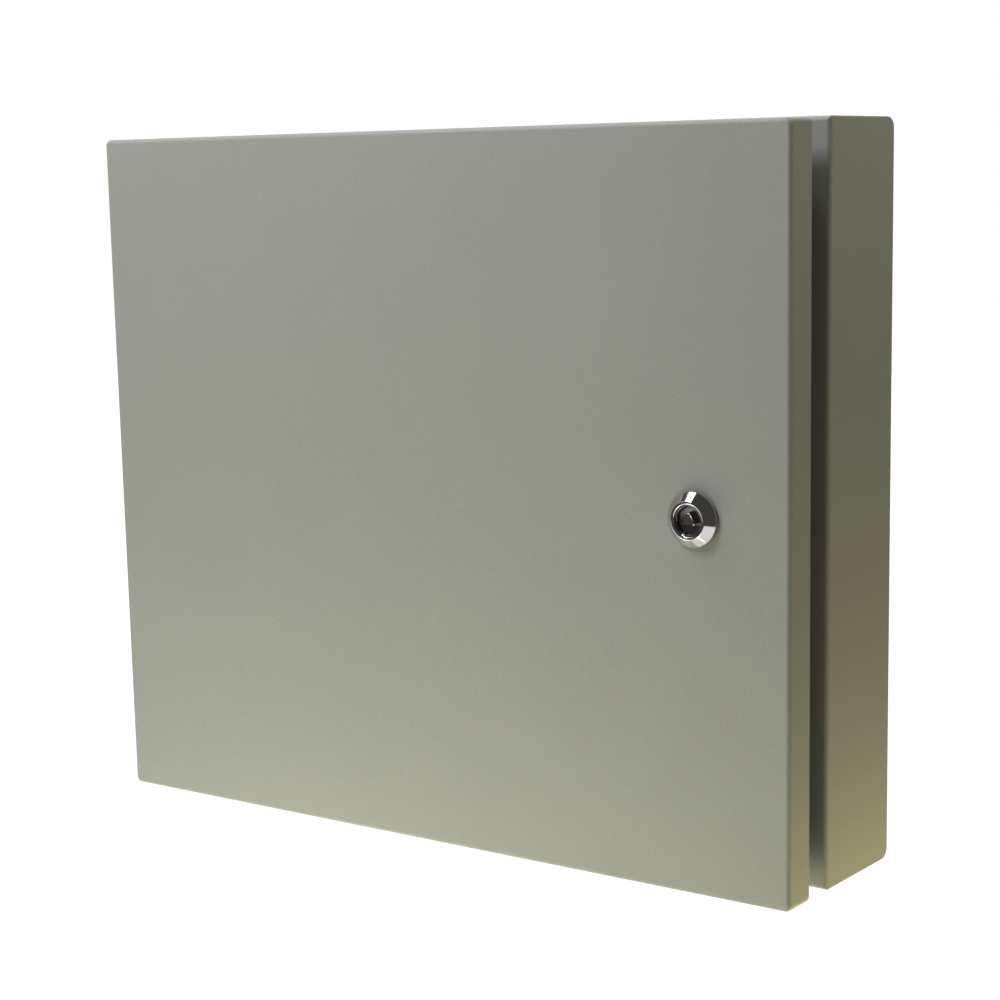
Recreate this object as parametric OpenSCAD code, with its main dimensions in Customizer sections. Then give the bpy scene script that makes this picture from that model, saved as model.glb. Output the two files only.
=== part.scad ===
// Wall-mounted sheet-steel box for joining and patching optical fibres.
// Frame: origin at the centre of the back face, on the wall plane.
// +X to the right, +Y into the wall, +Z up. All sizes in millimetres.

/* [Cabinet] */
// Width of the cabinet and of its door
box_w = 470; // [450:1:520]
// Height of the cabinet and of its door
box_h = 400; // [390:1:460]
// Depth of the body, from the wall to the front flange
body_d = 70; // [66:0.5:90]
// Thickness of the steel sheet
sheet = 1.5; // [1.2:0.1:2]
// Outer radius of the folds in the sheet
fold_r = 2.5; // [2.2:0.1:3]
// Radius of the top and bottom rear edges
rear_r = 8; // [4:0.5:10]
// Radius of the ground welds along the body's four long corners
weld_r = 1; // [0.5:0.1:1.1]
// Width of the front flange round the neck
flange_w = 20; // [18:0.5:22]
// Radius of the neck's corners
neck_r = 6; // [4:0.5:10]

/* [Wall holes] */
// Distance of the wall holes from the cabinet's sides, top and underside
wall_hole_edge = 35; // [30:0.5:45]
// Diameter of a wall hole
wall_hole_d = 8; // [6:0.5:10]

/* [Door] */
// Open gap between the door's rear edge and the front flange
door_gap = 19.5; // [18:0.5:24]
// Depth of the door pan
door_d = 20.5; // [18:0.5:24]
// How far the hung door sits below the body
door_drop = 1; // [0:0.1:2]
// Radius of the door pan's corners, seen from the front
door_r = 3.5; // [3.2:0.1:5]
// Width of the foam seal inside the door
seal_w = 12; // [8:0.5:14]
// Thickness of the foam seal
seal_t = 8.5; // [6:0.5:10]

/* [Hinges] */
// Distance of a hinge's centre from the cabinet's top or underside
hinge_edge = 70; // [60:1:90]
// Height of one hinge
hinge_h = 60; // [45:1:80]
// Outer diameter of a hinge knuckle
knuckle_d = 10; // [9:0.1:11]
// Diameter of the hinge pin
pin_d = 5; // [4:0.1:6]
// Distance of the pin's axis in front of the flange
pin_stand = 10; // [9.5:0.1:11]

/* [Lock] */
// Distance of the lock's axis from the door's right edge
lock_edge = 56; // [53:0.5:60]
// Diameter of the bezel where it meets the door
bezel_d = 29; // [27:0.5:34]
// Diameter of the bezel's front rim
bezel_rim_d = 19.5; // [19:0.5:22]
// Height of the bezel above its seal
bezel_h = 5.5; // [5:0.1:8]
// Diameter of the threaded barrel
barrel_d = 22; // [20:0.5:24]
// Length of the barrel behind the door sheet
barrel_l = 19; // [14:0.5:21]
// Diameter of the turning core
core_d = 12; // [10.5:0.5:13]
// Height of the triangular post's outline
post_h = 7; // [6:0.1:8]
// Reach of the cam from the lock's axis
cam_l = 46; // [43:0.5:48]
// Width of the cam
cam_w = 16; // [14:0.5:20]
// Thickness of the cam
cam_t = 3; // [2:0.1:4]

/* [Adapter shelf] */
// Distance from one adapter to the next; the row takes as many as the shelf holds
adapter_pitch = 26; // [22:0.5:32]
// Height of the shelf above the cabinet's underside
shelf_rise = 130; // [124:1:150]
// Distance from the shelf's ends to the cabinet's sides
shelf_side = 65; // [60:0.5:75]
// Depth of the shelf from the back wall
shelf_d = 52; // [48:0.5:56]

/* [Splice trays] */
// Width of a splice tray
tray_w = 180; // [176:1:200]
// Height of a splice tray
tray_h = 110; // [100:1:116]
// Depth of a splice tray
tray_t = 10; // [9:0.5:12]
// Distance from the cabinet's top to the trays' centre
tray_drop = 122; // [116:1:130]
// Number of splice places in a comb
splice_n = 12; // [6:1:12]

/* [Cable entries] */
// Outer diameter of the cables that the grommets take
cable_d = 12; // [8:0.5:14]
// Distance of the cable axes from the wall
cable_stand = 32; // [30:0.5:40]
// Distance between neighbouring cable entries
entry_pitch = 44; // [42:1:50]
// Distance from the cabinet's side to the middle of each pair of entries
entry_side = 85; // [80:1:95]

/* [Hidden] */
$fn = 48;

// Clearances
touch = 0.3;
running = 0.05;
slip = 0.2;
screw_slip = 0.15;

// Lengths that cuts run past a face and that joined shapes share
over = 1;
lap = 0.4;

// A dome's radius for each unit of its head's radius, and a hexagon's bevel for each unit of its height
dome = 1.5;
bevel = 0.6;

// Planes along Y, from the wall to the front
wall_y = -sheet;
flange_y = -body_d;
flange_back_y = flange_y + sheet;
door_rear_y = flange_y - door_gap;
door_front_y = door_rear_y - door_d;
door_in_y = door_front_y + sheet;
seal_y = door_in_y + seal_t;
neck_y = seal_y + touch;
door_z = -door_drop;

// Wall holes
wall_hole_dx = box_w - 2 * wall_hole_edge;
wall_hole_dz = box_h - 2 * wall_hole_edge;

// Neck
neck_w = box_w - 2 * flange_w;
neck_h = box_h - 2 * flange_w;
neck_l = flange_y - neck_y;
fold_in = fold_r - sheet;

// Hinges
hinge_dz = box_h - 2 * hinge_edge;
pin_x = -box_w / 2 + sheet + knuckle_d / 2;
pin_y = flange_y - pin_stand;
pin_r = pin_d / 2;
knuckle_r = knuckle_d / 2;
knuckle_h = hinge_h / 3;
leaf_t = 2.5;
leaf_edge = 1.5;
hinge_air = 0.2;
pin_end = 1;
pin_head_h = 2;
pin_head_in = 1;
pin_head_r = knuckle_r - pin_head_in;

// Lock
lock_x = box_w / 2 - lock_edge;
lock_seal_t = 1;
lock_seal_in = 1;
bezel_edge = 1.2;
rim_edge = 0.6;
bezel_y = door_front_y - lock_seal_t;
rim_y = bezel_y - bezel_h;
rim_w = 1.4;
recess_r = bezel_rim_d / 2 - rim_w;
recess_d = 5;
step_w = 0.9;
step_r = recess_r - step_w;
step_d = 1.3;
floor_y = rim_y + recess_d;
barrel_r = barrel_d / 2;
barrel_flat_cut = 0.8;
barrel_flat = barrel_d - 2 * barrel_flat_cut;
barrel_end_y = door_in_y + barrel_l;
core_r = core_d / 2;
core_face_t = 1.5;
post_low = 0.8;
core_shoulder = 2;
core_square = core_d - 2 * core_shoulder;
nub_r = 1;
nub_low = 0.4;
nub_air = 1;
nub_angle = 250;
nut_t = 5;
nut_wall = 2.5;
nut_af = barrel_d + 2 * nut_wall;
cam_y = barrel_end_y + touch;
cam_gap = 1;
cam_tip_y = flange_back_y + cam_gap;
cam_hub_r = 11;
cam_fold_r = 29;
cam_screw_r = 3;
cam_screw_l = 10;
cam_screw_af = 10;
cam_screw_head = 4;
cam_washer_r = 7;
cam_washer_t = 1.5;

// Cable anchoring
entry_x = box_w / 2 - entry_side;
cable_r = cable_d / 2;
cable_y = -cable_stand;
rail_y = cable_y + cable_r;
rail_t = 1.5;
rail_fold = 3;
sharp = 0.01;
rail_h = 26;
rail_foot = 10;
rail_end = 32;
rail_l = entry_pitch + 2 * rail_end;
rail_rise = 72;
rail_z = -box_h / 2 + rail_rise;
rail_slot_l = 8;
rail_slot_w = 3.5;
saddle_t = 1.5;
saddle_h = 10;
saddle_foot = 8;
saddle_r = cable_r + slip + saddle_t;
saddle_screw_x = saddle_r + saddle_foot / 2;
saddle_screw_r = 1.5;
saddle_head_r = 2.9;
saddle_head_h = 2;
saddle_screw_l = 6;
post_af = 8;
post_l = 9;
post_dz = 8;

// Studs and nuts
stud_r = 2;
stud_l = 10;
earth_r = 3;
earth_l = 16;
nut4_af = 7;
nut4_t = 3.2;
nut6_af = 10;
nut6_t = 5;
washer6_r = 6;
washer6_t = 1.2;
earth_edge = 32;
earth_x = -box_w / 2 + earth_edge;
earth_rise = 20;
earth_z = rail_z + rail_h / 2 + rail_foot + earth_rise;
door_earth_edge = 60;
door_earth_x = -box_w / 2 + door_earth_edge;
door_earth_z = -box_h / 2 + door_earth_edge;
door_earth_l = 12;

// Adapter shelf
shelf_l = box_w - 2 * shelf_side;
shelf_z = -box_h / 2 + shelf_rise;
shelf_end = 13;
adapter_n = floor((shelf_l - 2 * shelf_end) / adapter_pitch);
shelf_t = 1.5;
shelf_fold = 3;
shelf_back_h = 26;
shelf_lip_h = 9;
shelf_stud_edge = 20;
shelf_stud_x = shelf_l / 2 - shelf_stud_edge;
shelf_stud_drop = 16;
shelf_stud_z = shelf_z - shelf_stud_drop;
adapter_y = wall_y - shelf_d / 2;
adapter_w = 26;
adapter_t = 9.3;
adapter_half = 18;
adapter_flange_w = 35;
adapter_flange_t = 2.2;
adapter_screw_dy = 30.4;
adapter_screw_r = 1;
adapter_head_r = 1.9;
adapter_head_h = 1.4;
adapter_screw_l = 6;
port_pitch = 12.7;
port_w = 9.4;
port_t = 7.5;
port_wall = 4;
sleeve_r = 2.3;
sleeve_bore_r = 1.25;
sleeve_half = 7;
key_w = 2.2;
key_d = 4;
cap_plug_l = 6;
cap_head_l = 4;
cap_head_w = 11.2;
cap_head_t = 8.8;
cap_slip = 0.2;
cap_plug_r = 1;
cap_head_r = 1.5;

// Splice trays
tray_z = box_h / 2 - tray_drop;
tray_r = 14;
tray_wall = 1.5;
tray_floor = 1.5;
tray_stand = 8;
tray_back_y = wall_y - tray_stand;
tray_stud_edge = 8;
tray_stud_x = tray_w / 2 - tray_stud_edge;
tray_boss_r = 5;
tray_stud_end = 12;
tray_stud_l = tray_stand + 2 * tray_t + tray_stud_end;
drum_r = 26;
drum_x = 48;
drum_low = 1.2;
drum_gap = 12;
tab_w = 14;
tab_d = 5;
tab_t = 1.2;
tab_x = 45;
tab_gap = 2;
window_gap = 0.4;
entry_slot_w = 9;
entry_slot_z = tray_h / 2 - tray_r - entry_slot_w / 2 - over;
tab_z = entry_slot_z - (entry_slot_w + tab_w) / 2 - tab_gap;
comb_w = 36;
comb_floor = 1.2;
comb_rib_h = 5.5;
comb_rib_t = 1.4;
comb_pitch = 4;
comb_cut = 4;
comb_margin = 2;
comb_h = splice_n * comb_pitch + comb_rib_t;
lid_t = 1.2;
lid_hook_w = 12;
lid_hook_h = 5;
lid_hook_z = 28;
spacer_r = 4.5;
wing_hub_r = 4.5;
wing_hub_h = 6;
wing_r = 4.5;
wing_x = 8;
wing_t = 2;
wing_low = 1;
wing_taper = 0.8;

// Fibre guides
guide_out = 42;
guide_x = tray_w / 2 + guide_out;
guide_in = 3;
guide_z = tray_h / 2 - guide_in;
guide_r = 12;
guide_wall = 2;
guide_h = 10;
guide_base = 22;
guide_base_t = 2;
guide_slot = 5;

// Grommets
grommet_neck = 4;
grommet_lip = 3;
grommet_lip_t = 2.5;
grommet_slip = 0.1;
grommet_round = 1;
entry_r = cable_r + grommet_neck;

// Gland plate
gland_t = 2;
gland_r = 3;
gland_air = 2;
gland_edge = 10;
gland_cut_w = 2 * entry_x + entry_pitch + 2 * (entry_r + grommet_lip + gland_air);
gland_cut_d = 2 * (entry_r + grommet_lip + gland_air);
gland_w = gland_cut_w + 2 * gland_edge;
gland_d = gland_cut_d + 2 * gland_edge;
gland_screw_n = 4;
gland_screw_dx = gland_cut_w / (gland_screw_n - 1);
gland_screw_dy = gland_cut_d + gland_edge;
gland_screw_l = 7;
gland_head_r = 3.6;
gland_head_h = 2.6;

function adapter_x(i) = (i - (adapter_n + 1) / 2) * adapter_pitch;
function adapter_name(i) = str("adapter_", i < 10 ? "0" : "", i);
function entry_place(i) = (i < 3 ? -entry_x : entry_x) + (i % 2 == 1 ? -0.5 : 0.5) * entry_pitch;
function hex_r(af) = af / 2 / cos(30);

GUIDES = [1, 2, 3, 4];
ENTRIES = [1, 2, 3, 4];
SADDLES = [1, 2];
ENDS = ["upper", "lower"];
LEVELS = ["lower", "upper"];

// Solids and outlines that repeat

// A box between two corners
module block(low, high) {
    translate(low) cube(high - low);
}

// A flat outline in X and Z, given depth towards the viewer from the plane y
module facing(y, depth) {
    translate([0, y, 0]) rotate([90, 0, 0]) linear_extrude(depth) children();
}

// A solid built on the plane z = 0 and upwards, turned to stand on the plane y and face the viewer
module standing(x, y, z) {
    translate([x, y, z]) rotate([90, 0, 0]) children();
}

// An outline in Y and Z, run along X about the centre
module along_x(length) {
    translate([-length / 2, 0, 0]) rotate([90, 0, 90]) linear_extrude(length) children();
}

// An outline in X and Y, run along Z about the centre
module along_z(length) {
    translate([0, 0, -length / 2]) linear_extrude(length) children();
}

// The waste between a square corner at the origin and its rounding
module corner_waste(r) {
    difference() {
        translate([-over, -over]) square(r + over);
        translate([r, r]) circle(r);
    }
}

// A rectangle with its own radius at each end of the first axis
module round_ends(low, high, r_low, r_high) {
    difference() {
        translate(low) square(high - low);
        translate(low) corner_waste(r_low);
        translate([low[0], high[1]]) mirror([0, 1]) corner_waste(r_low);
        translate([high[0], low[1]]) mirror([1, 0]) corner_waste(r_high);
        translate(high) mirror([1, 0]) mirror([0, 1]) corner_waste(r_high);
    }
}

// A rectangle about the centre with four equal corners
module round_rect(w, h, r) {
    round_ends([-w / 2, -h / 2], [w / 2, h / 2], r, r);
}

// A band along the edge of a rounded rectangle
module rim(w, h, r, t) {
    difference() {
        round_rect(w, h, r);
        round_rect(w - 2 * t, h - 2 * t, r - t);
    }
}

// A quarter of a bent sheet: bend centre at the origin, in the quadrant of +x and +y
module bend(r_out, t) {
    intersection() {
        difference() {
            circle(r_out);
            circle(r_out - t);
        }
        square(r_out + over);
    }
}

// Carries an edge outline round a rounded rectangle: x outwards from the edge, y upwards
module round_edge(w, h, r) {
    for (k = [0:3]) {
        across = (k % 2 == 0) ? w : h;
        along = (k % 2 == 0) ? h : w;
        rotate([0, 0, 90 * k]) {
            translate([across / 2, along / 2 - r, 0])
                rotate([90, 0, 0]) linear_extrude(along - 2 * r) children();
            translate([across / 2 - r, along / 2 - r, 0])
                rotate_extrude(angle = 90) translate([r, 0]) children();
        }
    }
}

// A hexagon with chamfered outer corners on its upper side
module hex_block(af, h) {
    intersection() {
        cylinder(r = hex_r(af), h = h, $fn = 6);
        cylinder(r1 = af / 2 + h * bevel * 2, r2 = af / 2, h = h);
    }
}

module hex_nut(af, h, hole_r) {
    difference() {
        hex_block(af, h);
        translate([0, 0, -over]) cylinder(r = hole_r, h = h + 2 * over);
    }
}

// A domed head that stands on the plane z = 0
module dome_head(r, h) {
    intersection() {
        cylinder(r = r, h = h);
        translate([0, 0, h - r * dome]) sphere(r = r * dome);
    }
}

// A screw that stands on the plane z = 0: domed head above, shank below
module dome_screw(shank_r, shank_l, head_r, head_h) {
    translate([0, 0, -shank_l]) cylinder(r = shank_r, h = shank_l + head_h / 2);
    dome_head(head_r, head_h);
}

// Cabinet body

module body_side(grow) {
    round_ends([flange_y - grow, -box_h / 2 - grow], [grow, box_h / 2 + grow], fold_r + grow, rear_r + grow);
}

module body_plan(grow) {
    rotate([0, 0, 90])
        round_ends([flange_y - grow, -box_w / 2 - grow], [grow, box_w / 2 + grow], fold_r + grow, weld_r);
}

// The closed body, or the space inside it when grown by minus one sheet
module body_block(grow) {
    intersection() {
        along_x(box_w + 2 * grow) body_side(grow);
        along_z(box_h + 2 * grow) body_plan(grow);
    }
}

// All the sheet of the cabinet, with its front open
module shell() {
    difference() {
        intersection() {
            body_block(0);
            facing(over, body_d + 2 * over) round_rect(box_w, box_h, weld_r);
        }
        body_block(-sheet);
        facing(flange_back_y + over, sheet + 2 * over)
            round_rect(neck_w + 2 * fold_in, neck_h + 2 * fold_in, neck_r + fold_in);
    }
}

// The room of a side sheet: the side itself and its strip of the front flange
module side_room(side) {
    strip_h = neck_h / 2 - neck_r;
    mirror([side > 0 ? 0 : 1, 0, 0]) {
        block([box_w / 2 - sheet, flange_y - over, -box_h / 2 - over], [box_w / 2 + over, over, box_h / 2 + over]);
        block([neck_w / 2, flange_y - over, -strip_h], [box_w / 2, flange_back_y + fold_in, strip_h]);
    }
}

// Back, top and underside in one folded sheet
module cabinet_body() {
    color("darkgray") difference() {
        shell();
        for (side = [-1, 1]) side_room(side);
        for (sx = [-1, 1], sz = [-1, 1])
            standing(sx * wall_hole_dx / 2, over, sz * wall_hole_dz / 2)
                cylinder(d = wall_hole_d, h = sheet + 2 * over);
        translate([0, cable_y, -box_h / 2 - over]) linear_extrude(sheet + 2 * over)
            round_rect(gland_cut_w, gland_cut_d, gland_r);
        gland_screw_places() translate([0, 0, gland_t - over])
            cylinder(r = stud_r + running, h = sheet + 2 * over);
    }
}

module side_sheet(side) {
    color("darkgray") intersection() {
        shell();
        side_room(side);
    }
}

module neck_outline() {
    translate([-sheet, fold_in]) square([sheet, neck_l - fold_in]);
    translate([fold_in, fold_in]) rotate([0, 0, 180]) bend(fold_r, sheet);
}

module neck_frame() {
    color("darkgray") standing(0, flange_y, 0) round_edge(neck_w, neck_h, neck_r) neck_outline();
}

// Gland plate under the cabinet

module gland_screw_places() {
    for (i = [0 : gland_screw_n - 1], s = [-1, 1])
        translate([(i - (gland_screw_n - 1) / 2) * gland_screw_dx, cable_y + s * gland_screw_dy / 2,
                   -box_h / 2 - gland_t]) children();
}

module gland_plate() {
    color("darkgray") difference() {
        translate([0, cable_y, -box_h / 2 - gland_t]) linear_extrude(gland_t) round_rect(gland_w, gland_d, gland_r);
        for (i = ENTRIES)
            translate([entry_place(i), cable_y, -box_h / 2 - gland_t - over])
                cylinder(r = entry_r + grommet_slip, h = gland_t + 2 * over);
        gland_screw_places() translate([0, 0, -over]) cylinder(r = stud_r + screw_slip, h = gland_t + 2 * over);
    }
}

module gland_screws() {
    color("silver") gland_screw_places() mirror([0, 0, 1])
        dome_screw(stud_r, gland_screw_l, gland_head_r, gland_head_h);
}

// Door

module pan_outline() {
    translate([-sheet, 0]) square([sheet, door_d - fold_r]);
    translate([-fold_r, door_d - fold_r]) bend(fold_r, sheet);
    translate([-fold_r - lap, door_d - sheet]) square([lap, sheet]);
}

module lock_cut(slip_all) {
    intersection() {
        circle(barrel_r + slip_all);
        square([barrel_d + 2 * slip_all + over, barrel_flat + 2 * slip_all], center = true);
    }
}

module door_panel() {
    color("darkgray") difference() {
        union() {
            standing(0, door_rear_y, door_z) round_edge(box_w, box_h, door_r) pan_outline();
            translate([0, 0, door_z]) facing(door_in_y, sheet)
                round_rect(box_w - 2 * fold_r, box_h - 2 * fold_r, door_r - fold_r);
        }
        translate([lock_x, 0, door_z]) facing(door_in_y + over, sheet + 2 * over) lock_cut(slip);
    }
}

module door_seal() {
    color("dimgray") translate([0, 0, door_z]) facing(seal_y, seal_t)
        rim(neck_w - sheet + seal_w, neck_h - sheet + seal_w, seal_w + 2, seal_w);
}

// Hinges

module hinge_leaf_body(side) {
    z = side * hinge_dz / 2;
    low = z - knuckle_h / 2 + hinge_air / 2;
    high = z + knuckle_h / 2 - hinge_air / 2;
    foot_x = pin_x + knuckle_r - leaf_t;
    color("gray") {
        block([pin_x - leaf_edge, flange_y - leaf_t, z - hinge_h / 2],
              [-neck_w / 2 - fold_in - leaf_edge, flange_y, z + hinge_h / 2]);
        difference() {
            union() {
                translate([pin_x, pin_y, low]) cylinder(r = knuckle_r, h = high - low);
                block([foot_x, pin_y, low], [pin_x + knuckle_r, flange_y - leaf_t / 2, high]);
            }
            translate([pin_x, pin_y, low - over]) cylinder(r = pin_r + running, h = knuckle_h + 2 * over);
        }
    }
}

module hinge_leaf_door(side) {
    z = side * hinge_dz / 2;
    leaf_x = pin_x - knuckle_r;
    color("gray") {
        block([leaf_x, door_in_y + fold_r, z - hinge_h / 2],
              [leaf_x + leaf_t, pin_y - knuckle_r - leaf_edge, z + hinge_h / 2]);
        for (s = [-1, 1]) {
            low = z + (s < 0 ? -hinge_h / 2 : knuckle_h / 2 + hinge_air / 2);
            h = knuckle_h - hinge_air / 2;
            difference() {
                union() {
                    translate([pin_x, pin_y, low]) cylinder(r = knuckle_r, h = h);
                    block([leaf_x, pin_y - knuckle_r - leaf_edge - lap, low], [leaf_x + leaf_t, pin_y, low + h]);
                }
                translate([pin_x, pin_y, low - over]) cylinder(r = pin_r + running, h = h + 2 * over);
            }
        }
    }
}

module hinge_pin(side) {
    z = side * hinge_dz / 2;
    color("silver") translate([pin_x, pin_y, z - hinge_h / 2]) {
        translate([0, 0, -pin_end]) cylinder(r = pin_r, h = hinge_h + pin_end + hinge_air);
        translate([0, 0, hinge_h + hinge_air]) dome_head(pin_head_r, pin_head_h);
    }
}

// Lock

module bezel_outline() {
    difference() {
        union() {
            square([bezel_d / 2, bezel_edge]);
            polygon([[0, bezel_edge], [bezel_d / 2, bezel_edge],
                     [bezel_rim_d / 2 + rim_edge, bezel_h - rim_edge], [bezel_rim_d / 2, bezel_h],
                     [0, bezel_h]]);
        }
        translate([-over, bezel_h - step_d]) square([recess_r + over, step_d + over]);
        translate([-over, bezel_h - recess_d]) square([step_r + over, recess_d]);
    }
}

module lock_housing() {
    color("gainsboro") difference() {
        standing(lock_x, bezel_y, door_z) {
            rotate_extrude() bezel_outline();
            translate([0, 0, bezel_y - barrel_end_y]) linear_extrude(barrel_end_y - bezel_y) lock_cut(0);
            intersection() {
                rotate([0, 0, nub_angle]) translate([step_r, 0, bezel_h - recess_d + core_face_t + nub_air])
                    cylinder(r = nub_r, h = recess_d - core_face_t - nub_air - nub_low);
                cylinder(r = step_r + step_w / 2, h = bezel_h);
            }
        }
        standing(lock_x, barrel_end_y + over, door_z)
            cylinder(r = core_r + running, h = barrel_end_y + over - floor_y + lap);
    }
}

module lock_seal() {
    color("black") standing(lock_x, door_front_y, door_z) difference() {
        cylinder(d = bezel_d - 2 * lock_seal_in, h = lock_seal_t);
        translate([0, 0, -over]) cylinder(r = barrel_r + slip, h = lock_seal_t + 2 * over);
    }
}

module lock_nut() {
    color("silver") translate([lock_x, door_in_y, door_z]) rotate([-90, 0, 0])
        hex_nut(nut_af, nut_t, barrel_r + running);
}

// An equal-sided triangle with blunted corners, point up
module triangle(h) {
    blunt = 0.12 * h;
    intersection() {
        polygon([for (a = [90, 210, 330]) h * 2 / 3 * [cos(a), sin(a)]]);
        circle(h * 2 / 3 - blunt);
    }
}

module lock_core() {
    color("silver") difference() {
        union() {
            standing(lock_x, floor_y - 2 * running, door_z) {
                cylinder(r = step_r - 2 * running, h = core_face_t);
                linear_extrude(recess_d - post_low) triangle(post_h);
            }
            standing(lock_x, barrel_end_y, door_z) cylinder(r = core_r, h = barrel_end_y - floor_y + lap);
            standing(lock_x, cam_y + cam_t - running, door_z)
                linear_extrude(cam_t + touch) square(core_square, center = true);
        }
        standing(lock_x, cam_y + cam_t + over, door_z)
            cylinder(r = cam_screw_r + running, h = cam_screw_l + 2 * over);
    }
}

module lock_cam() {
    rise = cam_tip_y - cam_y;
    reach = cam_fold_r - cam_hub_r;
    lean = cam_t * (sqrt(rise * rise + reach * reach) - reach) / rise;
    color("lightgray") difference() {
        intersection() {
            translate([lock_x, 0, door_z]) along_x(cam_w) polygon([
                [cam_y, -cam_w / 2 - over], [cam_y, cam_hub_r], [cam_tip_y, cam_fold_r], [cam_tip_y, cam_l + over],
                [cam_tip_y + cam_t, cam_l + over], [cam_tip_y + cam_t, cam_fold_r - lean],
                [cam_y + cam_t, cam_hub_r - lean], [cam_y + cam_t, -cam_w / 2 - over]]);
            translate([lock_x, 0, door_z]) facing(cam_tip_y + cam_t + over, rise + cam_t + 2 * over) {
                circle(cam_w / 2);
                translate([-cam_w / 2, 0]) square([cam_w, cam_l - cam_w / 4]);
                translate([0, cam_l / 2]) round_rect(cam_w, cam_l, cam_w / 4);
            }
        }
        standing(lock_x, cam_y + cam_t + over, door_z)
            linear_extrude(cam_t + 2 * over) square(core_square + 2 * running, center = true);
    }
}

module cam_screw() {
    color("silver") translate([lock_x, cam_y + cam_t, door_z]) rotate([-90, 0, 0]) {
        translate([0, 0, -cam_screw_l]) cylinder(r = cam_screw_r, h = cam_screw_l + lap);
        cylinder(r = cam_washer_r, h = cam_washer_t);
        translate([0, 0, cam_washer_t]) hex_block(cam_screw_af, cam_screw_head);
    }
}

// Studs, nuts and earth points

module weld_studs() {
    color("silver") {
        for (x = [-shelf_stud_x, 0, shelf_stud_x])
            standing(x, wall_y, shelf_stud_z) cylinder(r = stud_r, h = stud_l);
        for (x = [-tray_stud_x, tray_stud_x])
            standing(x, wall_y, tray_z) cylinder(r = stud_r, h = tray_stud_l);
        standing(earth_x, wall_y, earth_z) cylinder(r = earth_r, h = earth_l);
    }
}

module earth_nut(x, y, z, turn) {
    translate([x, y, z]) rotate([turn, 0, 0]) difference() {
        union() {
            cylinder(r = washer6_r, h = washer6_t);
            translate([0, 0, washer6_t]) hex_block(nut6_af, nut6_t);
        }
        translate([0, 0, -over]) cylinder(r = earth_r + running, h = washer6_t + nut6_t + 2 * over);
    }
}

module earth_nut_body() {
    color("goldenrod") earth_nut(earth_x, wall_y, earth_z, 90);
}

module door_earth_stud() {
    color("silver") translate([door_earth_x, door_in_y, door_earth_z]) rotate([-90, 0, 0])
        cylinder(r = earth_r, h = door_earth_l);
}

module door_earth_nut() {
    color("goldenrod") earth_nut(door_earth_x, door_in_y, door_earth_z, -90);
}

// Adapter shelf

module shelf_outline() {
    front = wall_y - shelf_d;
    translate([wall_y - shelf_t, shelf_z - shelf_back_h]) square([shelf_t, shelf_back_h - shelf_fold]);
    translate([wall_y - shelf_fold, shelf_z - shelf_fold]) bend(shelf_fold, shelf_t);
    translate([front + shelf_fold, shelf_z - shelf_t]) square([shelf_d - 2 * shelf_fold, shelf_t]);
    translate([front + shelf_fold, shelf_z - shelf_fold]) rotate([0, 0, 90]) bend(shelf_fold, shelf_t);
    translate([front, shelf_z - shelf_lip_h]) square([shelf_t, shelf_lip_h - shelf_fold]);
}

module adapter_shelf() {
    color("darkgray") difference() {
        along_x(shelf_l) shelf_outline();
        for (i = [1:adapter_n]) translate([adapter_x(i), adapter_y, shelf_z - shelf_t / 2]) {
            cube([adapter_t + 2 * slip, adapter_w + 2 * slip, shelf_t + 2 * over], center = true);
            for (s = [-1, 1]) translate([0, s * adapter_screw_dy / 2, -shelf_t])
                cylinder(r = adapter_screw_r + screw_slip, h = 2 * shelf_t);
        }
        for (x = [-shelf_stud_x, 0, shelf_stud_x])
            standing(x, wall_y + over, shelf_stud_z) cylinder(r = stud_r + screw_slip, h = shelf_t + 2 * over);
    }
}

module shelf_nuts() {
    color("silver") for (x = [-shelf_stud_x, 0, shelf_stud_x])
        standing(x, wall_y - shelf_t, shelf_stud_z) hex_nut(nut4_af, nut4_t, stud_r + running);
}

module adapter_ports() {
    depth = adapter_half - port_wall / 2;
    for (s = [-1, 1], e = [0, 1]) mirror([0, 0, e]) {
        translate([-port_t / 2, s * port_pitch / 2 - port_w / 2, port_wall / 2])
            cube([port_t, port_w, depth + over]);
        translate([0, s * port_pitch / 2 - key_w / 2, adapter_half - key_d])
            cube([adapter_t, key_w, key_d + over]);
    }
}

module adapter(i) {
    color("royalblue") translate([adapter_x(i), adapter_y, shelf_z]) difference() {
        union() {
            difference() {
                union() {
                    cube([adapter_t, adapter_w, 2 * adapter_half], center = true);
                    translate([0, 0, adapter_flange_t / 2])
                        cube([adapter_t, adapter_flange_w, adapter_flange_t], center = true);
                }
                adapter_ports();
            }
            for (s = [-1, 1]) translate([0, s * port_pitch / 2, -sleeve_half])
                cylinder(r = sleeve_r, h = 2 * sleeve_half);
        }
        for (s = [-1, 1]) {
            translate([0, s * port_pitch / 2, -sleeve_half - over])
                cylinder(r = sleeve_bore_r, h = 2 * (sleeve_half + over));
            translate([0, s * adapter_screw_dy / 2, -over])
                cylinder(r = adapter_screw_r + screw_slip, h = adapter_flange_t + 2 * over);
        }
    }
}

module adapter_screws() {
    color("silver") for (i = [1:adapter_n], s = [-1, 1])
        translate([adapter_x(i), adapter_y + s * adapter_screw_dy / 2, shelf_z + adapter_flange_t])
            dome_screw(adapter_screw_r, adapter_screw_l, adapter_head_r, adapter_head_h);
}

module dust_cap() {
    translate([0, 0, -cap_plug_l]) linear_extrude(cap_plug_l + lap)
        round_rect(port_t - 2 * cap_slip, port_w - 2 * cap_slip, cap_plug_r);
    linear_extrude(cap_head_l) round_rect(cap_head_t, cap_head_w, cap_head_r);
}

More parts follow.
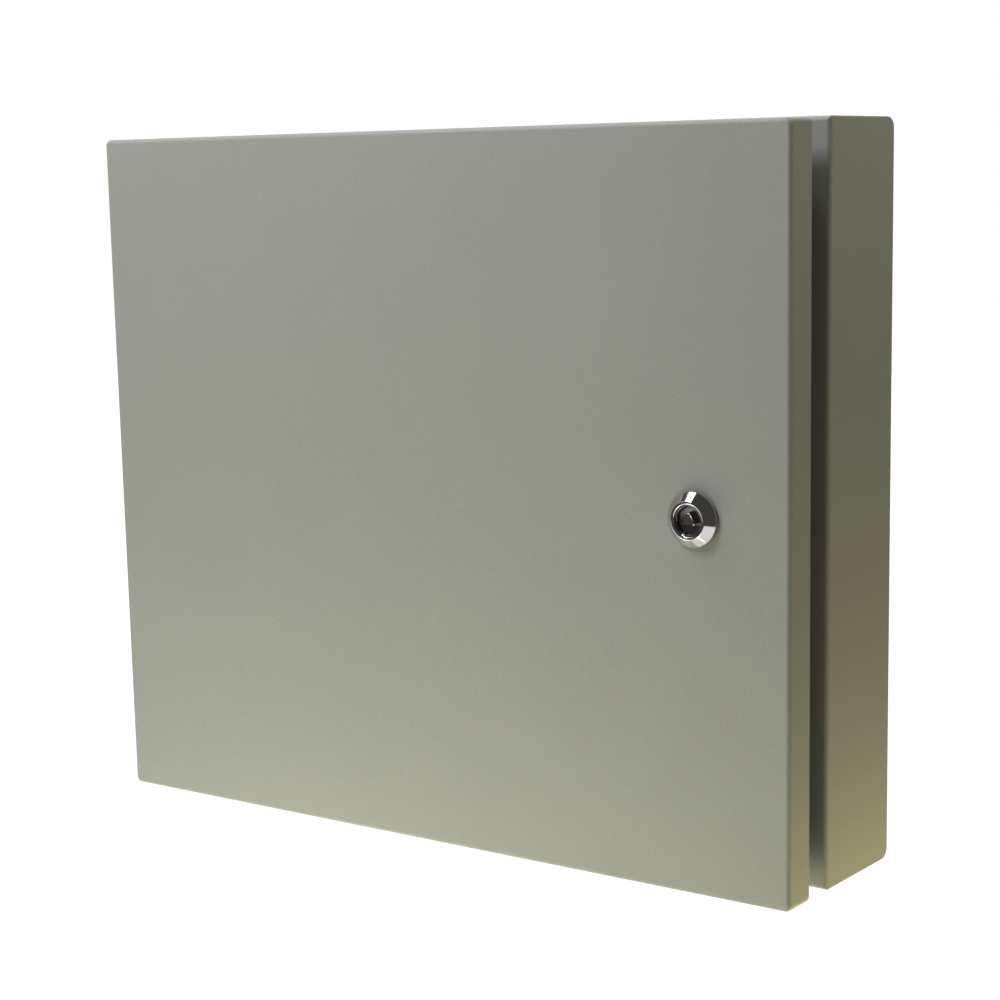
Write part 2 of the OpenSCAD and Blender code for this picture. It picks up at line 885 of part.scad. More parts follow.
module dust_caps() {
    color("whitesmoke") for (i = [1:adapter_n], s = [-1, 1], up = [-1, 1])
        translate([adapter_x(i), adapter_y + s * port_pitch / 2, shelf_z + up * adapter_half])
            mirror([0, 0, up > 0 ? 0 : 1]) dust_cap();
}

// Splice trays

module at_tray(level) {
    standing(0, tray_back_y - level * tray_t, tray_z) children();
}

module drum() {
    difference() {
        linear_extrude(tray_t - drum_low) difference() {
            circle(drum_r);
            circle(drum_r - tray_wall);
        }
        for (a = [0, 90]) rotate([0, 0, a]) translate([-drum_r - over, -drum_gap / 2, tray_floor])
            cube([2 * (drum_r + over), drum_gap, tray_t]);
    }
}

// Places for the retaining tabs: at the inner face of the wall, with +y towards the wall
module tab_places() {
    for (s = [0, 1], x = [-tab_x, 0, tab_x])
        rotate([0, 0, 180 * s]) translate([x, tray_h / 2 - tray_wall, 0]) children();
    for (s = [90, 270], z = [-tab_z, tab_z])
        rotate([0, 0, s]) translate([z, tray_w / 2 - tray_wall, 0]) children();
}

module splice_tray(level) {
    color("ivory") at_tray(level) difference() {
        union() {
            difference() {
                union() {
                    linear_extrude(tray_floor) round_rect(tray_w, tray_h, tray_r);
                    linear_extrude(tray_t) rim(tray_w, tray_h, tray_r, tray_wall);
                }
                tab_places() block([-tab_w / 2, -tab_d, -over], [tab_w / 2, -window_gap, tray_floor + over]);
                for (sx = [-1, 1], sz = [-1, 1])
                    translate([sx * tray_w / 2, sz * entry_slot_z, tray_floor + tray_t / 2])
                        cube([tray_wall * 4, entry_slot_w, tray_t], center = true);
            }
            tab_places() translate([0, 0, tray_t - drum_low - tab_t])
                block([-tab_w / 2, -tab_d, 0], [tab_w / 2, tray_wall / 2, tab_t]);
            for (s = [-1, 1]) {
                translate([s * drum_x, 0, 0]) drum();
                translate([s * tray_stud_x, 0, 0]) cylinder(r = tray_boss_r, h = tray_t);
            }
        }
        for (s = [-1, 1]) translate([s * tray_stud_x, 0, -over])
            cylinder(r = stud_r + screw_slip, h = tray_t + 2 * over);
    }
}

module splice_comb(level) {
    color("lightsteelblue") at_tray(level) translate([0, 0, tray_floor]) difference() {
        union() {
            linear_extrude(comb_floor)
                round_rect(comb_w + 2 * comb_margin, comb_h + 2 * comb_margin, comb_margin);
            for (k = [0:splice_n])
                translate([-comb_w / 2, -comb_h / 2 + k * comb_pitch, 0])
                    cube([comb_w, comb_rib_t, comb_floor + comb_rib_h]);
        }
        for (x = [-comb_w / 4, comb_w / 4])
            translate([x - comb_cut / 2, -comb_h, comb_floor]) cube([comb_cut, 2 * comb_h, comb_rib_h + over]);
    }
}

module tray_lid() {
    color("white", 0.4) at_tray(2) difference() {
        union() {
            linear_extrude(lid_t) round_rect(tray_w, tray_h, tray_r);
            for (sx = [-1, 1], sz = [-1, 1]) {
                mirror([sx > 0 ? 0 : 1, 0, 0]) translate([tray_w / 2, sz * lid_hook_z, 0]) {
                    block([-lap, -lid_hook_w / 2, 0], [slip + lid_t, lid_hook_w / 2, lid_t]);
                    block([slip, -lid_hook_w / 2, -lid_hook_h], [slip + lid_t, lid_hook_w / 2, lid_t]);
                }
            }
        }
        for (s = [-1, 1]) translate([s * tray_stud_x, 0, -over])
            cylinder(r = stud_r + screw_slip, h = lid_t + 2 * over);
    }
}

module tray_spacers() {
    color("silver") for (s = [-1, 1]) standing(s * tray_stud_x, wall_y, tray_z) difference() {
        cylinder(r = spacer_r, h = tray_stand);
        translate([0, 0, -over]) cylinder(r = stud_r + screw_slip, h = tray_stand + 2 * over);
    }
}

module wing_nut() {
    difference() {
        union() {
            cylinder(r1 = wing_hub_r, r2 = wing_hub_r - wing_taper, h = wing_hub_h);
            rotate([90, 0, 0]) linear_extrude(wing_t, center = true) for (s = [-1, 1]) {
                translate([s * wing_x, wing_hub_h]) circle(wing_r);
                translate([s > 0 ? 0 : -wing_x, wing_low]) square([wing_x, wing_hub_h - wing_low]);
            }
        }
        translate([0, 0, -over]) cylinder(r = stud_r + running, h = wing_hub_h + wing_r + 2 * over);
    }
}

module tray_wing_nuts() {
    color("silver") for (s = [-1, 1])
        standing(s * tray_stud_x, tray_back_y - 2 * tray_t - lid_t, tray_z) wing_nut();
}

// Fibre guides

module fibre_guide(i) {
    x = (i % 2 == 1 ? -1 : 1) * guide_x;
    z = tray_z + (i < 3 ? guide_z : -guide_z);
    ring_y = wall_y - guide_base_t - guide_r + lap;
    color("ivory") translate([x, 0, z]) along_z(guide_h) difference() {
        union() {
            translate([0, ring_y]) circle(guide_r);
            translate([-guide_base / 2, wall_y - guide_base_t]) square([guide_base, guide_base_t]);
        }
        translate([0, ring_y]) circle(guide_r - guide_wall);
        translate([-guide_slot / 2, ring_y - guide_r - over]) square([guide_slot, guide_r]);
    }
}

// Cable anchoring

module rail_outline() {
    difference() {
        round_ends([rail_y, rail_z - rail_h / 2], [wall_y, rail_z + rail_h / 2], rail_fold, sharp);
        round_ends([rail_y + rail_t, rail_z - rail_h / 2 + rail_t], [wall_y + over, rail_z + rail_h / 2 - rail_t],
                   rail_fold - rail_t, sharp);
    }
    for (s = [-1, 1])
        translate([wall_y - rail_t, rail_z + (s > 0 ? rail_h / 2 - rail_t : -rail_h / 2 - rail_foot + rail_t)])
            square([rail_t, rail_foot]);
}

module rail_screw_places() {
    for (i = SADDLES) {
        for (s = [-1, 1]) translate([entry_place(i) + s * saddle_screw_x, rail_y - saddle_t, rail_z]) children();
    }
}

module anchor_rail() {
    color("darkgray") difference() {
        translate([-entry_x, 0, 0]) along_x(rail_l) rail_outline();
        rail_screw_places() standing(0, saddle_t + rail_t + over, 0)
            cylinder(r = saddle_screw_r + running, h = rail_t + 2 * over);
        for (i = SADDLES, s = [-1, 1])
            translate([entry_place(i), 0, rail_z + s * rail_h / 4]) facing(rail_y + rail_t + over, rail_t + 2 * over)
                round_rect(rail_slot_l, rail_slot_w, rail_slot_w / 2 - sharp);
    }
}

module cable_saddle(i) {
    hole_r = cable_r + slip;
    color("silver") translate([entry_place(i), 0, rail_z]) difference() {
        along_z(saddle_h) difference() {
            union() {
                translate([0, cable_y]) circle(saddle_r);
                translate([-saddle_r, cable_y]) square([2 * saddle_r, cable_r]);
                translate([-saddle_r - saddle_foot, rail_y - saddle_t])
                    square([2 * (saddle_r + saddle_foot), saddle_t]);
            }
            translate([0, cable_y]) circle(hole_r);
            translate([-hole_r, cable_y]) square([2 * hole_r, cable_r + over]);
            translate([-saddle_r * 2, rail_y]) square([saddle_r * 4, saddle_r]);
        }
        for (s = [-1, 1]) standing(s * saddle_screw_x, rail_y + over, 0)
            cylinder(r = saddle_screw_r + screw_slip, h = saddle_t + 2 * over);
    }
}

module strength_posts() {
    color("goldenrod") standing(-entry_x, rail_y, rail_z) for (s = [-1, 1])
        translate([0, s * post_dz, 0]) hex_nut(post_af, post_l, saddle_screw_r + running);
}

module rail_screws() {
    color("silver") {
        rail_screw_places() rotate([90, 0, 0])
            dome_screw(saddle_screw_r, saddle_screw_l, saddle_head_r, saddle_head_h);
        for (s = [-1, 1]) standing(-entry_x, rail_y - post_l, rail_z + s * post_dz)
            dome_screw(saddle_screw_r, saddle_screw_l, saddle_head_r, saddle_head_h);
    }
}

// Grommets

module grommet_outline() {
    translate([cable_r, -grommet_lip_t]) square([grommet_neck, 2 * grommet_lip_t + gland_t]);
    for (z = [-grommet_lip_t, gland_t])
        translate([cable_r, z]) round_ends([0, 0], [grommet_neck + grommet_lip, grommet_lip_t], sharp, grommet_round);
}

module cable_grommet(i) {
    color("black") translate([entry_place(i), cable_y, -box_h / 2 - gland_t])
        rotate_extrude() grommet_outline();
}

cabinet_body();
side_sheet(-1);  // side_left
side_sheet(1);  // side_right
neck_frame();
gland_plate();
gland_screws();
door_panel();
door_seal();
for (e = ENDS) {
    side = e == "upper" ? 1 : -1;
    hinge_leaf_body(side);
    hinge_leaf_door(side);
    hinge_pin(side);
}
lock_housing();
lock_seal();
lock_nut();
lock_core();
lock_cam();
cam_screw();
weld_studs();
adapter_shelf();
shelf_nuts();
for (i = [1:adapter_n]) adapter(i);
adapter_screws();
dust_caps();
for (k = [0:1]) {
    splice_tray(k);
    splice_comb(k);
}
tray_lid();
tray_spacers();
tray_wing_nuts();
for (i = GUIDES) fibre_guide(i);
anchor_rail();
for (i = SADDLES) cable_saddle(i);
strength_posts();
rail_screws();
for (i = ENTRIES) cable_grommet(i);
earth_nut_body();
door_earth_stud();
door_earth_nut();
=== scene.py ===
"""Dresses the wall-mounted fibre distribution box: paint, metals, plastics, seal, threads and screws.

Every size is in metres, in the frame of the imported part: +X to the right, +Y into the wall, +Z up.
"""

import math

import bmesh
import bpy
from mathutils import Matrix, Vector


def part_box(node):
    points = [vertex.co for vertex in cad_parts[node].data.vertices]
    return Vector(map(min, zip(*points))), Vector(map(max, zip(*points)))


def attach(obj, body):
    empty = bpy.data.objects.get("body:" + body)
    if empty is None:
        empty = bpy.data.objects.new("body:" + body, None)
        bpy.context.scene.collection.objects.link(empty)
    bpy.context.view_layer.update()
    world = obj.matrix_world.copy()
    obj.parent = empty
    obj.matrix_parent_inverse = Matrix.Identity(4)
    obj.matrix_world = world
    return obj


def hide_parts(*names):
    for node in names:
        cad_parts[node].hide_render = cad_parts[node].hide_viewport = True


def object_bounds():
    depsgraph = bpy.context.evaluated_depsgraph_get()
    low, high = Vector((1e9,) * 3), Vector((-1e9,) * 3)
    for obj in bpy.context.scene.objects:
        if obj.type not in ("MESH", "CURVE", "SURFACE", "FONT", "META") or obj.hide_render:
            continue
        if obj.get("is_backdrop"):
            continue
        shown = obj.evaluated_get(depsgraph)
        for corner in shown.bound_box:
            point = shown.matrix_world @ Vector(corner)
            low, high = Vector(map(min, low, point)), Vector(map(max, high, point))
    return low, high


bl_info = {
    "name": "Fibre Distribution Box",
    "version": (1, 0, 0),
    "blender": (4, 5, 0),
    "location": "View3D > Sidebar > Distribution Box",
    "description": "Finishes and fine pieces of a wall-mounted fibre distribution box",
    "category": "Object",
}

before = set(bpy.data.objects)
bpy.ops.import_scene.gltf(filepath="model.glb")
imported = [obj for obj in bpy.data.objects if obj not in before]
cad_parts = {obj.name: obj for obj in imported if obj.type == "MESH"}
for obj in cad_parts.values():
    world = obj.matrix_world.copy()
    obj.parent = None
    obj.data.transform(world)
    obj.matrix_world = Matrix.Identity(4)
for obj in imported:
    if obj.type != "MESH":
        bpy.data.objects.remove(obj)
CAD_LOW, CAD_HIGH = (Vector(corner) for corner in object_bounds())
MM = 0.001
IMAGE_PIXELS = 1000
SENSOR_WIDTH = 36
RAMP_SPAN = 3.0

PAINTED = ["cabinet_body", "side_left", "side_right", "neck_frame", "gland_plate", "door_panel"]
HINGE_ENDS = ["upper", "lower"]
ADAPTERS = sorted(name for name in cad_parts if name.startswith("adapter_") and name[-1].isdigit())
GUIDES = sorted(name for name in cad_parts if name.startswith("fibre_guide_"))
GROMMETS = sorted(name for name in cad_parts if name.startswith("cable_grommet_"))
SADDLES = sorted(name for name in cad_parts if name.startswith("cable_saddle_"))

LOCK_LOW, LOCK_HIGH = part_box("lock_housing")
SEAL_LOW, SEAL_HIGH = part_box("door_seal")


# Sizes and colours that a user would change


def length(name, description, millimetres):
    """A length property, given in millimetres and kept in metres."""
    return bpy.props.FloatProperty(
        name=name, description=description, default=millimetres * MM, unit="LENGTH", precision=5)


def angle(name, description, degrees):
    """An angle property, given in degrees and kept in radians."""
    return bpy.props.FloatProperty(
        name=name, description=description, default=math.radians(degrees), subtype="ANGLE")


def number(name, description, default):
    """A property that is a plain number."""
    return bpy.props.FloatProperty(name=name, description=description, default=default)


def colour(name, description, default):
    """A colour property of red, green and blue, each from 0 to 1."""
    return bpy.props.FloatVectorProperty(
        name=name, description=description, default=default, size=3, min=0, max=1, subtype="COLOR")


class BoxColours(bpy.types.PropertyGroup):
    """Colours of the finishes"""

    paint: colour("Paint", "Powder coat on the sheet steel", (0.332, 0.333, 0.297))
    zinc: colour("Zinc", "Plated brackets, nuts and screws", (0.60, 0.61, 0.60))
    chrome: colour("Chrome", "Bright plating on the lock", (0.60, 0.59, 0.58))
    # Painted shade: this darkened colour stands in for the shade inside the lock's recess.
    recess: colour("Recess", "Darkened metal inside the lock", (0.17, 0.16, 0.155))
    brass: colour("Brass", "Turned brass nuts and posts", (0.66, 0.47, 0.19))
    foam: colour("Foam", "Door seal and washer under the lock", (0.045, 0.046, 0.048))
    rubber: colour("Rubber", "Cable grommets", (0.022, 0.022, 0.023))
    adapter: colour("Adapters", "Moulded adapter bodies", (0.024, 0.105, 0.40))
    cap: colour("Caps", "Dust caps in the adapters", (0.74, 0.74, 0.70))
    tray: colour("Trays", "Splice trays and fibre guides", (0.66, 0.66, 0.62))
    comb: colour("Combs", "Splice holders", (0.085, 0.095, 0.115))
    lid: colour("Lid", "Clear lid over the trays", (0.93, 0.96, 0.96))


class LockSizes(bpy.types.PropertyGroup):
    """Sizes of the lock's fine shapes"""

    rim_radius: length("Rim radius", "Outer radius of the bezel's front rim", 10.35)
    rim_inner: length("Rim opening", "Inner radius of the front rim", 8.35)
    rim_round: length("Rim rounding", "Rounding of the rim's edges", 0.65)
    base_height: length("Base edge", "Height of the bezel's straight edge at the door", 1.2)
    head_height: length("Head height", "Height of the bezel above its seal", 5.5)
    step_radius: length("Step radius", "Radius of the recess below the step", 7.45)
    step_depth: length("Step depth", "Depth of the step below the rim", 1.3)
    recess_depth: length("Recess depth", "Depth of the recess below the rim", 5.0)
    core_radius: length("Core radius", "Radius of the turning core", 6.0)
    face_height: length("Core face", "Thickness of the core's face", 1.5)
    post_size: length("Post", "Height of the triangular post's outline", 7.0)
    post_low: length("Post below rim", "Distance of the post's top below the rim", 0.8)
    post_bevel: length("Post bevel", "Bevel along the post's edges", 0.35)
    barrel_radius: length("Barrel radius", "Radius of the threaded barrel", 11.0)
    barrel_flat: length("Barrel flat", "Half distance between the barrel's flats", 10.2)
    thread_pitch: length("Barrel pitch", "Pitch of the barrel's thread", 1.5)
    thread_depth: length("Barrel thread", "Depth of the barrel's thread", 0.65)
    core_gap: length("Core gap", "Running gap between the core's face and the recess's floor", 0.1)
    nub_radius: length("Nub", "Radius of the small nub in the recess", 1.0)
    nub_gap: length("Nub gap", "Air between the nub and the core's face", 1.0)
    nub_angle: angle("Nub angle", "Where the nub stands round the recess", 250)
    sunk: length("Sunk", "How far joined shapes reach into each other", 0.5)
    dish_depth: length("Dish", "Depth of the shallow dish in the core's face", 0.25)
    rim_chamfer: length("Core chamfer", "Chamfer round the core's face", 0.3)
    side_gap: length("Side gap", "Gap round the core's face", 0.1)
    bore_gap: length("Bore gap", "Gap between the core and its bore", 0.05)
    square_half: length("Square", "Half width of the square that carries the cam", 4.0)
    post_share: number("Post share", "Reach of the post's blunt corners, as a share of sharp ones", 0.86)
    post_blunt: angle("Post blunting", "Half the angle that a blunt corner spans", 8)


class FinePieces(bpy.types.PropertyGroup):
    """Sizes of the seal, the weld beads, the threads and the moulded edges"""

    seal_width: length("Seal width", "Width of the foam bead", 12.0)
    seal_corner: length("Seal corner", "Radius of the seal's outer corners", 14.0)
    seal_wave: length("Seal wave", "Waviness of the foamed bead", 0.12)
    bead_radius: length("Weld bead", "Radius of the weld beads on the hinges", 1.3)
    bead_length: length("Bead length", "Length of one weld bead", 20.0)
    bead_ripple: length("Bead ripple", "Distance between ripples of a weld bead", 2.2)
    leaf_thickness: length("Leaf", "Thickness of a hinge leaf", 2.5)
    stud_pitch: length("Stud pitch", "Thread pitch of the welded studs", 0.9)
    stud_depth: length("Stud thread", "Thread depth of the welded studs", 0.35)
    moulded_edge: length("Moulded edge", "Bevel along the adapters' edges", 0.25)


class StageSizes(bpy.types.PropertyGroup):
    """The camera, the floor, the hood and the surround"""

    camera_place: bpy.props.FloatVectorProperty(
        name="Camera place", description="Where the camera stands", default=(0.7659, -1.0715, 0.1764),
        size=3, subtype="TRANSLATION")
    camera_azimuth: angle("Camera azimuth", "Turn of the camera round the box", 36.414)
    camera_elevation: angle("Camera elevation", "How far the camera looks down", 9.967)
    camera_roll: angle("Camera roll", "Tilt of the picture", -1.160)
    focal_pixels: number("Focal length", "Focal length in pixels of the square picture", 2225.0)
    centre_x: number("Centre across", "Optical centre across, in pixels", 501.75)
    centre_y: number("Centre down", "Optical centre down, in pixels", 561.4)
    floor_drop: length("Floor", "Distance of the floor below the box", 350.0)
    floor_size: length("Floor size", "Width of the floor", 12000.0)
    hood_radius: length("Hood radius", "Radius of the dim hood that metal reflects", 1550.0)
    hood_lift: length("Hood lift", "Gap between the hood and the floor", 10.0)
    hood_level: number("Hood level", "Brightness of the dim hood", 0.07)
    surround_level: number("Surround", "Brightness of the surround as a lamp", 0.03)
    floor_glow: number("Floor glow", "Brightness of the floor's white", 1.1)
    shadow_share: number("Shadow", "Share of the lit floor that shows under the box", 0.25)
    shadow_near: length("Shadow near", "Distance from the origin where the shadow starts to fade", 600.0)
    shadow_far: length("Shadow far", "Distance from the origin where the shadow has faded", 840.0)


# Shader expressions


class Wire:
    """An output socket of a material, with arithmetic that adds Math nodes."""

    def __init__(self, finish, socket):
        self.finish = finish
        self.socket = socket

    def maths(self, operation, first, second):
        """The outcome of a Math node on two values."""
        return self.finish.node("ShaderNodeMath", {"operation": operation}, {0: first, 1: second})

    def __add__(self, other):
        return self.maths("ADD", self, other)

    def __radd__(self, other):
        return self.maths("ADD", other, self)

    def __mul__(self, other):
        return self.maths("MULTIPLY", self, other)

    def __rmul__(self, other):
        return self.maths("MULTIPLY", other, self)

    def __truediv__(self, other):
        return self.maths("DIVIDE", self, other)


class Finish:
    """A material or world whose nodes are all made by one method."""

    def __init__(self, owner, output="ShaderNodeOutputMaterial"):
        owner.use_nodes = True
        self.owner = owner
        self.tree = owner.node_tree
        self.tree.nodes.clear()
        self.output = self.tree.nodes.new(output)

    def node(self, kind, settings=None, sockets=None, out=0):
        """Adds a node: its type, its settings, then the values or links of its sockets."""
        made = self.tree.nodes.new(kind)
        for name, value in (settings or {}).items():
            if name == "stops":
                self.set_stops(made.color_ramp.elements, value)
            else:
                setattr(made, name, value)
        for key, value in (sockets or {}).items():
            if isinstance(value, Wire):
                self.tree.links.new(value.socket, made.inputs[key])
            else:
                made.inputs[key].default_value = value
        return Wire(self, made.outputs[out])

    @staticmethod
    def set_stops(elements, stops):
        """Sets the greys of a colour ramp."""
        while len(elements) < len(stops):
            elements.new(1)
        for element, (place, grey) in zip(elements, stops):
            element.position = place
            element.color = (grey, grey, grey, 1)

    def place(self):
        """The point on the surface, in metres in the part's frame."""
        return self.node("ShaderNodeTexCoord", out="Object")

    def noise(self, grain, detail=2.0, roughness=0.5, stretch=(1, 1, 1)):
        """Noise from 0 to 1 whose features are about grain metres wide."""
        where = self.place()
        if stretch != (1, 1, 1):
            where = self.node("ShaderNodeMapping", None, {"Vector": where, "Scale": stretch})
        return self.node("ShaderNodeTexNoise", None, {
            "Vector": where, "Scale": 1 / grain, "Detail": detail, "Roughness": roughness})

    def cells(self, grain):
        """Distance from the middles of cells that are about grain metres wide."""
        return self.node("ShaderNodeTexVoronoi", None, {"Vector": self.place(), "Scale": 1 / grain})

    def shade(self, value, low, high):
        """Spreads a value of 0 to 1 over a smooth ramp from low to high."""
        return self.node("ShaderNodeValToRGB", {"stops": [(low, 0), (high, 1)]}, {"Fac": value})

    def tint(self, factor, first, second):
        """A colour between two colours."""
        return self.node("ShaderNodeMix", {"data_type": "RGBA"}, {
            "Factor": factor, "A": (*first, 1), "B": (*second, 1)}, out="Result")

    def bump(self, height, depth, strength=1.0):
        """A normal from a height of 0 to 1 that stands for depth metres."""
        return self.node("ShaderNodeBump", None, {
            "Height": height, "Distance": depth, "Strength": strength})

    def principled(self, **sockets):
        """Ends the material with a Principled shader whose sockets are named with underscores."""
        names = {name.replace("_", " "): value for name, value in sockets.items()}
        shader = self.node("ShaderNodeBsdfPrincipled", None, names)
        self.finish_with(shader)
        return self.owner

    def finish_with(self, shader):
        """Links a shader to the output."""
        self.tree.links.new(shader.socket, self.output.inputs["Surface"])


def scaled(base, factor):
    """A colour made lighter or darker, up to white."""
    return tuple(min(1.0, part * factor) for part in base)


def new_finish(name):
    """An empty material of that name."""
    return Finish(bpy.data.materials.new(name))


# Finishes


def powder_coat(colours):
    """Fine matt powder coat: a pebbled skin with slight mottling."""
    made = new_finish("powder_coat")
    speck = made.noise(0.9 * MM, detail=4.0, roughness=0.7)
    cloud = made.noise(45 * MM, detail=3.0)
    pebble = made.noise(1.3 * MM, detail=2.0, roughness=0.55)
    paint = Vector(colours.paint)
    fine = made.tint(made.shade(speck, 0.3, 0.7), scaled(paint, 0.91), scaled(paint, 1.09))
    broad = made.tint(cloud, (0.97, 0.97, 0.98), (1.03, 1.03, 1.02))
    mixed = made.node("ShaderNodeMix", {"data_type": "RGBA", "blend_type": "MULTIPLY"}, {
        "Factor": 1.0, "A": fine, "B": broad}, out="Result")
    skin = pebble * 0.7 + speck * 0.3
    return made.principled(
        Base_Color=mixed, Roughness=0.50 + 0.14 * pebble, Normal=made.bump(skin, 0.035 * MM, 0.8))


def zinc_plate(colours):
    """Bright zinc plating with faint clouds and rolling lines."""
    made = new_finish("zinc_plate")
    cloud = made.noise(9 * MM, detail=4.0, roughness=0.6)
    lines = made.noise(0.5 * MM, detail=3.0, stretch=(0.04, 1, 1))
    base = Vector(colours.zinc)
    cool = (base[0] * 0.93, base[1] * 0.96, base[2] * 1.02)
    return made.principled(
        Base_Color=made.tint(cloud, cool, scaled(base, 1.07)), Metallic=1.0,
        Roughness=0.28 + 0.14 * cloud + 0.06 * lines, Normal=made.bump(lines, 0.006 * MM, 0.5))


def bright_chrome(colours):
    """Polished plating over a casting: nearly a mirror, with a faint haze."""
    made = new_finish("bright_chrome")
    haze = made.noise(2.5 * MM, detail=4.0)
    swell = made.noise(3.5 * MM, detail=1.0)
    base = Vector(colours.chrome)
    return made.principled(
        Base_Color=made.tint(haze, scaled(base, 0.95), scaled(base, 1.04)), Metallic=1.0,
        Roughness=0.07 + 0.06 * haze, Normal=made.bump(swell, 0.015 * MM, 0.5))


def painted_recess_shade(colours):
    """Painted shade in the lock's recess: darkened metal that stands in for the shade there, mottled by
    noise.
    """
    made = new_finish("painted_recess_shade")
    shade_mottle = made.noise(1.6 * MM, detail=4.0, roughness=0.6)
    base = Vector(colours.recess)
    return made.principled(
        Base_Color=made.tint(shade_mottle, scaled(base, 0.6), scaled(base, 1.25)), Metallic=1.0,
        Roughness=0.22 + 0.16 * shade_mottle, Normal=made.bump(shade_mottle, 0.01 * MM, 0.4))


def turned_brass(colours):
    """Turned brass with fine tool rings."""
    made = new_finish("turned_brass")
    cloud = made.noise(3 * MM, detail=3.0)
    rings = made.noise(0.25 * MM, detail=2.0, stretch=(0.2, 0.2, 1))
    base = Vector(colours.brass)
    return made.principled(
        Base_Color=made.tint(cloud, scaled(base, 0.88), scaled(base, 1.08)), Metallic=1.0,
        Roughness=0.24 + 0.12 * rings, Normal=made.bump(rings, 0.008 * MM, 0.5))


def foam_seal(colours):
    """Foamed strip: a dull skin with open pores, each darkened towards its middle as painted shade."""
    made = new_finish("foam_seal")
    pores = made.cells(0.9 * MM)
    coarse = made.noise(3 * MM, detail=3.0)
    base = Vector(colours.foam)
    # Painted shade: the colour darkens towards each pore's middle, where the bump sinks.
    depth = made.shade(pores, 0.05, 0.6)
    return made.principled(
        Base_Color=made.tint(depth, scaled(base, 0.45), scaled(base, 1.25)),
        Roughness=0.86 + 0.1 * coarse, Normal=made.bump(depth * 0.7 + coarse * 0.3, 0.12 * MM, 0.7))


def moulded_rubber(colours):
    """Black rubber with a pale bloom."""
    made = new_finish("moulded_rubber")
    bloom = made.noise(4 * MM, detail=4.0, roughness=0.6)
    grain = made.noise(0.4 * MM)
    base = Vector(colours.rubber)
    return made.principled(
        Base_Color=made.tint(bloom, scaled(base, 0.8), scaled(base, 1.6)),
        Roughness=0.52 + 0.2 * bloom, Normal=made.bump(grain, 0.02 * MM, 0.5))


def moulded_plastic(name, base, gloss, grain):
    """Injection-moulded plastic: a spark-eroded grain and slight flow clouds."""
    made = new_finish(name)
    flow = made.noise(14 * MM, detail=2.0)
    texture = made.noise(grain, detail=3.0)
    base = Vector(base)
    return made.principled(
        Base_Color=made.tint(flow, scaled(base, 0.94), scaled(base, 1.05)),
        Roughness=gloss + 0.12 * texture, Normal=made.bump(texture, 0.015 * MM, 0.5))


def clear_sheet(colours):
    """Clear plastic sheet with a faint haze."""
    made = new_finish("clear_sheet")
    haze = made.noise(20 * MM, detail=4.0)
    base = Vector(colours.lid)
    return made.principled(
        Base_Color=made.tint(haze, scaled(base, 0.98), scaled(base, 1.02)),
        Roughness=0.04 + 0.06 * haze, IOR=1.12, Transmission_Weight=1.0)


FINISHES = {}


def finish(name):
    """The finish of that name, made on its first use."""
    colours = bpy.context.scene.box_colours
    makers = {
        "body_paint": lambda: powder_coat(colours),
        "zinc_plate": lambda: zinc_plate(colours),
        "lock_chrome": lambda: bright_chrome(colours),
        # The lock's recess finish is painted shade, a darkened metal.
        "lock_painted_shade": lambda: painted_recess_shade(colours),
        "brass": lambda: turned_brass(colours),
        "seal_foam": lambda: foam_seal(colours),
        "grommet_rubber": lambda: moulded_rubber(colours),
        "adapter_blue": lambda: moulded_plastic("adapter_plastic", colours.adapter, 0.34, 0.35 * MM),
        "cap_plastic": lambda: moulded_plastic("cap_plastic", colours.cap, 0.40, 0.5 * MM),
        "tray_plastic": lambda: moulded_plastic("tray_plastic", colours.tray, 0.44, 0.4 * MM),
        "comb_plastic": lambda: moulded_plastic("comb_plastic", colours.comb, 0.46, 0.4 * MM),
        "lid_clear": lambda: clear_sheet(colours),
    }
    if name not in FINISHES:
        FINISHES[name] = makers[name]()
    return FINISHES[name]


def dress(slot, nodes):
    """Gives CAD nodes the finish of their material slot."""
    for name in nodes:
        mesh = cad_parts[name].data
        mesh.materials.clear()
        mesh.materials.append(finish(slot))


# Meshes


class Shape:
    """Vertices and faces gathered from several closed shells."""

    def __init__(self):
        self.points = []
        self.faces = []

    def add(self, points, faces, place=Matrix.Identity(4)):
        """Adds one shell at a place."""
        start = len(self.points)
        self.points += [place @ Vector(point) for point in points]
        self.faces += [[start + corner for corner in face] for face in faces]

    def piece(self, name, body, slot, sharp=35):
        """Makes the object, shaded smooth up to the given angle in degrees."""
        mesh = bpy.data.meshes.new(name)
        mesh.from_pydata(self.points, [], self.faces)
        tidy = bmesh.new()
        tidy.from_mesh(mesh)
        bmesh.ops.remove_doubles(tidy, verts=tidy.verts, dist=1e-7)
        bmesh.ops.recalc_face_normals(tidy, faces=tidy.faces)
        tidy.to_mesh(mesh)
        tidy.free()
        mesh.shade_smooth()
        mesh.set_sharp_from_angle(angle=math.radians(sharp))
        mesh.materials.append(finish(slot))
        made = bpy.data.objects.new(name, mesh)
        bpy.context.scene.collection.objects.link(made)
        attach(made, body)
        return made


def facing(centre):
    """Places a shape built along +Z so that its +Z faces the viewer and its +Y points up."""
    return Matrix.Translation(centre) @ Matrix.Rotation(math.radians(90), 4, "X")


def arc(centre, radius, start, end, steps=6):
    """Points of an arc in a profile's plane, angles in degrees."""
    angles = [math.radians(start + (end - start) * k / steps) for k in range(steps + 1)]
    return [(centre[0] + radius * math.cos(a), centre[1] + radius * math.sin(a)) for a in angles]


def grid_faces(rows, columns, close_rows, close_columns):
    """Quads over a grid of points, joined round on either side."""
    faces = []
    for r in range(rows if close_rows else rows - 1):
        for c in range(columns if close_columns else columns - 1):
            right = (c + 1) % columns
            below = (r + 1) % rows
            faces.append((
                r * columns + c, r * columns + right, below * columns + right, below * columns + c))
    return faces


